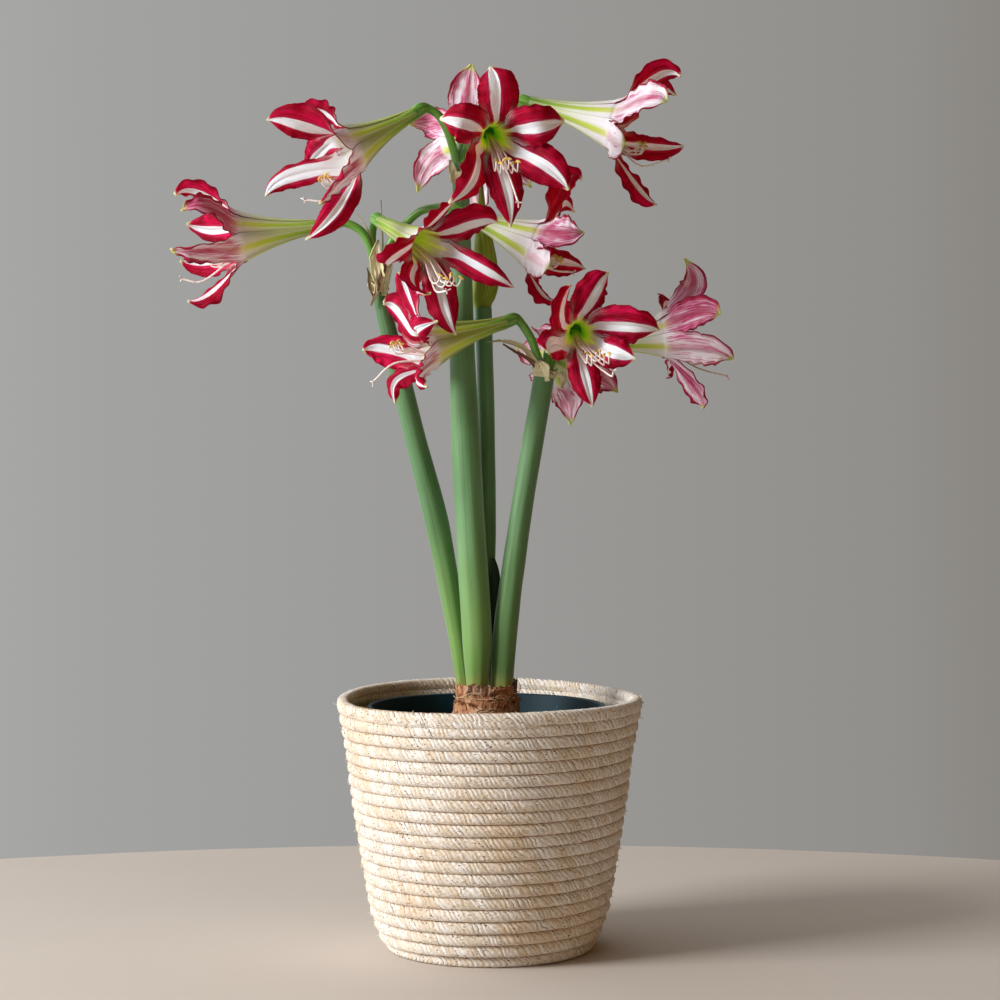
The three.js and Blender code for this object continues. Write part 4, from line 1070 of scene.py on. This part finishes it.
def strip(name, spots, widths, tone, seed):
    # one withered bract, a thin crumpled blade that narrows to a thread
    rows = 40
    path = smoothPath([place(*spot) for spot in spots], rows + 1)
    across = Vector((1, 0, 0))

    def spot(u, v):
        row = round(v * rows)
        tangent = (path[min(row + 1, rows)] - path[max(row - 1, 0)]).normalized()
        level = (across - tangent * across.dot(tangent)).normalized()
        level = Matrix.Rotation(1.2 * wobble(v * 3, seed), 3, tangent) @ level
        half = between(widths, v) * (1 + 0.2 * wobble(v * 14, seed, u))
        fold = u * u + 0.7 * wobble(u * 2.4 + seed, v * 7) + 0.25 * math.sin(u * 9 + seed)
        return path[row] + (level * (u * half) + level.cross(tangent) * (fold * min(half / 3, 1.3))) * mm

    piece = bentGrid(name, 12, rows, spot)
    markAll(piece, "bractTone", tone, 0, seed % 1)
    return piece


def driedRing(name, low, high, radius, seed):
    # what is left of the sheath round the top of the stem, torn along both edges
    start, end = place(*low), place(*high)
    along = (end - start).normalized()
    first = (Vector((1, 0, 0)) - along * along.x).normalized()
    second = along.cross(first)
    length = (end - start).length

    def spot(u, v):
        angle = math.pi * (u + 1)
        x, y = math.cos(angle) * 2.2, math.sin(angle) * 2.2
        torn = 1 + 0.45 * wobble(x, y, seed + v * 0.5) * (1 if v > 0.5 else 0.5)
        size = (radius + 0.5 + v * v + 0.45 * wobble(x * 2.2, y * 2.2, v * 2 + seed)) * mm
        middle = start + along * (length * (v * 1.25 - 0.12) * torn)
        return middle + first * (size * math.cos(angle)) + second * (size * math.sin(angle))

    piece = closeSeam(bentGrid(name, 64, 10, spot))
    markAll(piece, "bractTone", 0.15, 0, seed % 1)
    return piece


for name, (ring, *strips) in bracts.items():
    pieces = [driedRing(f"dried_{name}_ring", *ring, len(name))]
    for number, facts in enumerate(strips, 1):
        pieces.append(strip(f"dried_{name}_{number}", *facts, number * 1.37 + len(name)))
    piece = joined(f"dried_bracts_{name}", pieces)
    thicken(piece, bractThickness)
    settle(piece, [f"spathe_{name}"], paint["bract"])
print("bud, leaf and bracts made")


# basket of coiled husk rope

basketRope = {
    "radius": 4.4,          # mm, half the rope's thickness
    "rise": 8.8,            # mm from one turn to the next
    "stationsPerTurn": 620,
    "around": 14,
    "stripLength": 3.9,     # mm of rope that each wound strip covers
    "stripLean": 0.82,      # strips the winding shifts for each radian round the rope
    "stripRelief": 0.2,     # mm
    "rimTurn": 20,          # from this turn on, the rope is the rim
    "end": 21.02,
    "fibres": 1500,
}
basketRadii = [(78, 4.5), (84, 15.6), (89.5, 34), (95.8, 71), (101.8, 108), (106.2, 145), (110.6, 167),
               (112.9, 182)]    # radius and height, mm


def basketRadius(height):
    for (lowRadius, low), (highRadius, high) in zip(basketRadii, basketRadii[1:]):
        if height <= high:
            return mixed(lowRadius, highRadius, max(0, (height - low) / (high - low)))
    return basketRadii[-1][0]


def ropeMiddle(turn):
    # the middle of the rope at a number of turns from the start; the rim lies level, a little raised behind
    angle = 2 * math.pi * turn + math.radians(285)
    height = 4.5 + basketRope["rise"] * min(turn, basketRope["rimTurn"])
    if turn > basketRope["rimTurn"]:
        height += 3.2 * max(0, math.sin(angle - 0.25)) ** 1.5 - 2.6 * ease(turn, 20.62, 20.85)
    uneven = 0.45 * wobble(math.cos(angle) * 1.3, math.sin(angle) * 1.3, turn * 0.9)
    uneven += 0.25 * wobble(math.cos(angle) * 5, math.sin(angle) * 5, turn * 3)
    radius = basketRadius(height) - basketRope["radius"] + uneven
    height += 0.4 * wobble(angle * 1.1, 7)
    return Vector((radius * math.cos(angle), radius * math.sin(angle), height)) * mm


def outwardAt(spot):
    return Vector((spot.x, spot.y, 0)).normalized()


def squared(value, power):
    return math.copysign(abs(value) ** power, value)


def ropeCoil(name, first, last):
    facts = basketRope
    strips = []

    def spot(u, v):
        turn = mixed(first, last, v)
        middle = ropeMiddle(turn)
        angle = math.pi * u
        wound = turn * 2 * math.pi * (mixed(78, 112, turn / 20.5) + 78) / 2     # mm of rope, near enough
        phase = wound / facts["stripLength"] + facts["stripLean"] * angle
        phase += 1.3 * wobble(turn * 31, 3) + 0.45 * wobble(turn * 90, angle * 0.7)
        number, inside = math.floor(phase), phase % 1
        own = wobble(number * 7.31, 0.5)
        raised = facts["stripRelief"] * (math.sin(math.pi * inside) ** 0.5 - 0.6) * (0.7 + own)
        size = facts["radius"] * (1.06 if turn > facts["rimTurn"] else 1)
        size += 0.1 + raised * (0.75 + 0.9 * wobble(turn * 9, 6)) + 0.25 * own
        size *= mm * max(0, min(1, turn * 16, (facts["end"] - turn) * 40)) ** 0.5 * (0 < v < 1)
        # the third number is how open the spot lies, low in the crevices between turns, for the painted shade
        # there
        bare = turn > facts["rimTurn"] and math.sin(angle) > 0
        strips.append((phase, math.floor(turn), 1 if bare else 0.5 + 0.5 * math.cos(angle * 2)))
        # a little squarer than round, pressed between its neighbours
        outwards, upwards = squared(math.cos(angle), 0.72), squared(math.sin(angle), 0.84)
        return middle + outwardAt(middle) * (size * outwards * 0.96) + upward * (size * upwards)

    piece = bentGrid(name, facts["around"], round((last - first) * facts["stationsPerTurn"]), spot)
    markEach(piece, "ropeStrip", strips)
    return closeSeam(piece)


def basketBase():
    # the underside: rings of rope wound flat; its bulged side shows as the lowest turn
    flat, ring = 73, 9.2
    outline = [(0, 0.9)]
    for number in range(8):
        outline += [(number * ring + 4.4, 0.0), (min(72.4, number * ring + 9), 1.1)]
    outline += [(74.6, 0.5), (76, 1.7), (76.8, 3.3), (76.9, 5.1), (76.2, 6.9), (74.8, 8.2), (72, 8.9),
                (0, 8.9)]

    def lumpy(co):
        if math.hypot(co.x, co.y) < flat * mm:
            return co
        uneven = 0.004 * wobble(co.x * 70, co.y * 70) + 0.003 * wobble(co.x * 260, co.y * 260, co.z * 200)
        return co * (1 + uneven)

    piece = spun("basket_base", outline, 240, 0, lumpy)
    strips = []
    for vertex in piece.data.vertices:
        x, y, z = vertex.co / mm
        reach = math.hypot(x, y)
        strip = math.atan2(y, x) * reach / basketRope["stripLength"] + 0.18 * z
        # the third number is how open the spot lies, for the painted shade between turns
        strips.append((strip, math.floor(reach / ring), 1 - abs(z - 4.5) / 5.5 if reach > flat else 1))
    markEach(piece, "ropeStrip", strips)
    return piece


def basketFibres():
    # loose ends of husk that stand off the rope
    chance = random.Random(21)
    bpy.ops.mesh.primitive_cone_add(vertices=3, radius1=0.32 * mm, radius2=0.08 * mm, depth=mm,
                                    end_fill_type="NGON", calc_uvs=True)
    master = bpy.context.object
    fibres = []
    for _ in range(basketRope["fibres"]):
        middle = ropeMiddle(chance.uniform(0.5, 20.9))
        outward = outwardAt(middle)
        sideways = Vector((-outward.y, outward.x, 0))
        angle = chance.uniform(-1.1, 1.3)
        rise = outward * math.cos(angle) + upward * math.sin(angle)
        lean = rise * chance.uniform(0.3, 1.2) + sideways * chance.choice((-1, 1))
        lean = (lean + upward * chance.uniform(-0.5, 0.5)).normalized()
        length = chance.uniform(1.6, 5.0)
        beside = lean.cross(upward).normalized()
        middle += (rise * 4.2 + lean * length * 0.5) * mm
        turned = facing(beside, lean.cross(beside), lean) @ Matrix.Diagonal((1, 1, length, 1))
        fibres.append(copyOf(master, Matrix.Translation(middle) @ turned))
        markAll(fibres[-1], "ropeStrip", chance.uniform(0, 999), 3, 1)
    bpy.data.objects.remove(master)
    return joined("husk_fibres", fibres)


basket = [ropeCoil("rope_lower", 0, 10.252), ropeCoil("rope_upper", 10.25, basketRope["end"]), basketBase()]
for piece in basket + [basketFibres()]:
    settle(piece, ["basket"], paint["rope"], 65)
print("basket made")


# plastic pot, soil and bulb; outlines are radius and height in mm

potMiddle = -2
potOutline = [
    (0, 9.6), (60.2, 9.6), (61.4, 10), (62.6, 11.2), (63.4, 13.4), (78.9, 153.4), (79.6, 154.4),
    (83.4, 154.6), (84, 155.4), (86.2, 175.2), (87.4, 175.7), (88, 176.4), (88, 177.9), (87.4, 178.5),
    (85.6, 178.5), (84.8, 177.8), (82.4, 157), (81.6, 156.2), (78, 155.2), (77.2, 154.4), (61.4, 13),
    (60.6, 11.7), (59.4, 11.2), (0, 11.2),
]
soilRadii = (73, 70, 66.5, 63, 59.5, 56, 52.5, 49, 45.5, 42)
soilOutline = [(0, 12), (59, 12), (61, 13.6), (75.6, 146.5), (75.2, 148.4),
               *((radius, 149.2) for radius in soilRadii), (40, 149), (38, 146), (0, 144)]
crumbCount = 520
bulb = {
    "radii": [18, 34, 43.5, 46, 42, 31, 24, 22.8, 22.6],
    "heights": [90, 98, 114, 133, 150, 164, 175, 184, 194],
    "rows": 70, "topRows": 4, "around": 120,
    "sink": 0.8,            # mm, how far the body lies under its skins
    "skin": 0.35,           # mm, thickness
    "flakes": 30, "tallFlakes": 8, "curlingFrom": 22, "threads": 26,
}
bulbTop = bulb["heights"][-1]


def aroundPot(angle, radius, height):
    return Vector((potMiddle + radius * math.cos(angle), radius * math.sin(angle), height)) * mm


def soilPiece():
    def lumps(co):
        if co.z < 148 * mm or math.hypot(co.x, co.y) > 75 * mm:
            return co
        return co + upward * (1.6 * wobble(co.x * 90, co.y * 90) + 0.9 * wobble(co.x * 300, co.y * 300)) * mm

    crumbs = [spun("soil_top", soilOutline, 150, potMiddle, lumps)]
    chance = random.Random(5)
    bpy.ops.mesh.primitive_ico_sphere_add(subdivisions=1, radius=mm, calc_uvs=True)
    master = bpy.context.object
    for _ in range(crumbCount):
        angle, radius = chance.uniform(0, 2 * math.pi), 46 + 27 * math.sqrt(chance.random())
        size = chance.uniform(0.7, 2.3)
        shape = Matrix.Diagonal((size * chance.uniform(0.6, 1.5), size, size * 0.6, 1))
        turned = Matrix.Rotation(chance.uniform(0, 6.3), 4, "Z")
        turned = turned @ Matrix.Rotation(chance.uniform(-0.5, 0.5), 4, "X")
        crumbs.append(copyOf(master, Matrix.Translation(aroundPot(angle, radius, 149.5)) @ turned @ shape))
    bpy.data.objects.remove(master)
    return joined("potting_soil", crumbs)


def bulbRadius(height):
    radii, heights = bulb["radii"], bulb["heights"]
    low = max(k for k in range(8) if heights[k] <= min(height, bulbTop - 0.1))
    return mixed(radii[low], radii[low + 1], (height - heights[low]) / (heights[low + 1] - heights[low]))


def bulbBody():
    rows, foot = bulb["rows"], bulb["heights"][0]

    def spot(u, v):
        angle = math.pi * (u + 1)
        x, y = math.cos(angle), math.sin(angle)
        row = round(v * (rows + bulb["topRows"]))
        if row == 0:
            return aroundPot(0, 0, foot)
        if row > rows:
            inward = (row - rows) / bulb["topRows"]
            dip = 3.2 * math.sin(inward * math.pi / 2) + 0.5 * wobble(x * 3, y * 3, inward * 3)
            return aroundPot(angle, (bulb["radii"][-1] - bulb["sink"]) * (1 - inward), bulbTop - dip)
        height = mixed(foot, bulbTop, (row - 1) / (rows - 1))
        radius = bulbRadius(height) - bulb["sink"]
        radius += 0.7 * wobble(x * 6, y * 6, height * 0.02) + 0.4 * wobble(x * 18, y * 18, height * 0.05)
        return aroundPot(angle, radius, height)

    body = closeSeam(bentGrid("bulb_body", bulb["around"], rows + bulb["topRows"], spot))
    markAll(body, "skinTone", 0.2)
    return body


def bulbFlake(number, chance):
    # one torn papery skin round the neck
    middle = 2 * math.pi * (number * 0.618 % 1)
    spread = chance.uniform(0.5, 1.15)
    low = chance.uniform(152, 166)
    high = chance.uniform(193.5, 198) if number < bulb["tallFlakes"] else chance.uniform(175, 191)
    lift = 0.1 + 0.08 * number
    curling = number >= bulb["curlingFrom"]
    if curling:
        # a short bit that curls away
        middle = -math.pi / 2 + chance.uniform(-1.3, 1.3)
        spread = chance.uniform(0.16, 0.34)
        low = chance.uniform(172, 184)
        high = low + chance.uniform(5, 10)
    seed = number * 3.1

    def spot(u, v):
        angle = middle + spread * u * (1 - 0.25 * v)
        height = mixed(low, high + 2.2 * wobble(u * 5, seed) + 1.2 * wobble(u * 14, seed), v)
        radius = bulbRadius(height) + lift * 0.55 - 0.7
        radius += 0.45 * wobble(math.cos(angle) * 12, math.sin(angle) * 12, height * 0.04 + seed)
        radius += 0.8 * v ** 6 * (1 + wobble(u * 3, seed + 4))
        return aroundPot(angle, radius + (1.5 * v * v + 0.6 * max(0, u) ** 2 if curling else 0), height)

    flake = bentGrid(f"bulb_flake_{number}", 26, 22, spot)
    markAll(flake, "skinTone", 0.95 if curling else chance.random())
    return flake


def bulbThread(number, chance):
    # a dried thread that crosses the neck
    start, turned = chance.uniform(0, 2 * math.pi), chance.choice((-1, 1)) * chance.uniform(0.35, 0.9)
    low, climb = chance.uniform(176, 190), chance.uniform(-3, 6)
    path = []
    for step in range(9):
        t = step / 8
        height = low + climb * t + 1.2 * math.sin(t * 5 + number)
        reach = between([31, 24, 23.4, 23.4], (height - 164) / 30) + 1.3 + 0.5 * math.sin(t * 7 + number)
        path.append(aroundPot(start + turned * t, reach, height))
    thread = sweep(f"bulb_thread_{number}", path, [0.26 * mm] * 9, 5)
    markAll(thread, "skinTone", 0.5, 1)
    return thread


settle(spun("plastic_pot", potOutline, 120, potMiddle), ["inner_pot"], paint["pot"], 35)
settle(soilPiece(), ["soil"], paint["soil"], 60)
body, chance = bulbBody(), random.Random(12)
skins = joined("bulb_skins", [bulbFlake(number, chance) for number in range(bulb["flakes"])])
thicken(skins, bulb["skin"], -1)
threads = [bulbThread(number, chance) for number in range(bulb["threads"])]
settle(joined("bulb_and_skins", [body, skins] + threads), ["bulb"], paint["bulb"], 60)
print("pot, soil and bulb made")


# floor, light and camera

studio = {
    # colour of the surroundings from left to right
    "sky": [(0, 1.1, 1.12, 1.16), (0.3, 0.5, 0.5, 0.5), (0.42, 0.365, 0.365, 0.36),
            (0.58, 0.285, 0.275, 0.26), (0.7, 0.1, 0.065, 0.035), (1, 0.05, 0.03, 0.015)],
    "frontShade": 0.38,     # how far the dark side reaches round behind the camera
    # power, width, place, the spot it shines at and colour
    "lamps": {
        "key_light": (72, 1.0, (-2.2, -1.02, 1.2), (0, 0, 0.38), (1.0, 0.99, 0.98)),
        "fill_light": (3, 1.6, (1.6, -1.4, 0.8), (0, 0, 0.3), (1, 0.6, 0.24)),
        "back_light": (3, 1.2, (-0.6, 1.5, 1.6), (0, 0, 0.4), (1, 1, 1)),
    },
    "lens": 89.3, "film": 36, "shiftDown": -0.07,
}


def lamp(name, power, size, spot, aim, colour):
    bpy.ops.object.light_add(type="AREA", location=spot)
    light = named(name)
    light.data.energy = power
    light.data.size = size
    light.data.color = colour
    light.rotation_euler = (Vector(aim) - Vector(spot)).to_track_quat("-Z", "Y").to_euler()


def room():
    bpy.ops.mesh.primitive_circle_add(vertices=96, radius=1.3, fill_type="NGON", location=(0, -0.85, 0))
    floor = named("studio_floor")
    r = Recipe("studio_pale", 0.9, 0.1)
    colour = r.spot().grain(3, 2).fade((0.3, 208, 198, 188), (0.7, 212, 203, 194))
    floor.data.materials.append(r.finish(colour))
    # soft light all round, much brighter from the left where the window would be
    world = bpy.data.worlds.new("studio_world")
    bpy.context.scene.world = world
    world.use_nodes = True
    x, y, _ = newNode(world.node_tree, "TexCoord", output="Generated").parts()
    side = x - y.sum("MINIMUM", 0) * studio["frontShade"]
    sky = (side * 0.5 + 0.5).fade(*studio["sky"], convert=lambda *colour: (*colour, 1))
    feed(world.node_tree.nodes["Background"].inputs["Color"], sky)
    for name, facts in studio["lamps"].items():
        lamp(name, *facts)
    spot = (eye["across"] * mm, -eye["back"] * mm, eye["height"] * mm)
    bpy.ops.object.camera_add(location=spot, rotation=(math.radians(90), 0, 0))
    camera = named("portrait_camera")
    camera.data.lens = studio["lens"]
    camera.data.sensor_width = studio["film"]
    camera.data.shift_y = studio["shiftDown"]
    bpy.context.scene.camera = camera
    bpy.context.scene.view_settings.view_transform = "Standard"


room()
print("floor, light and camera made")
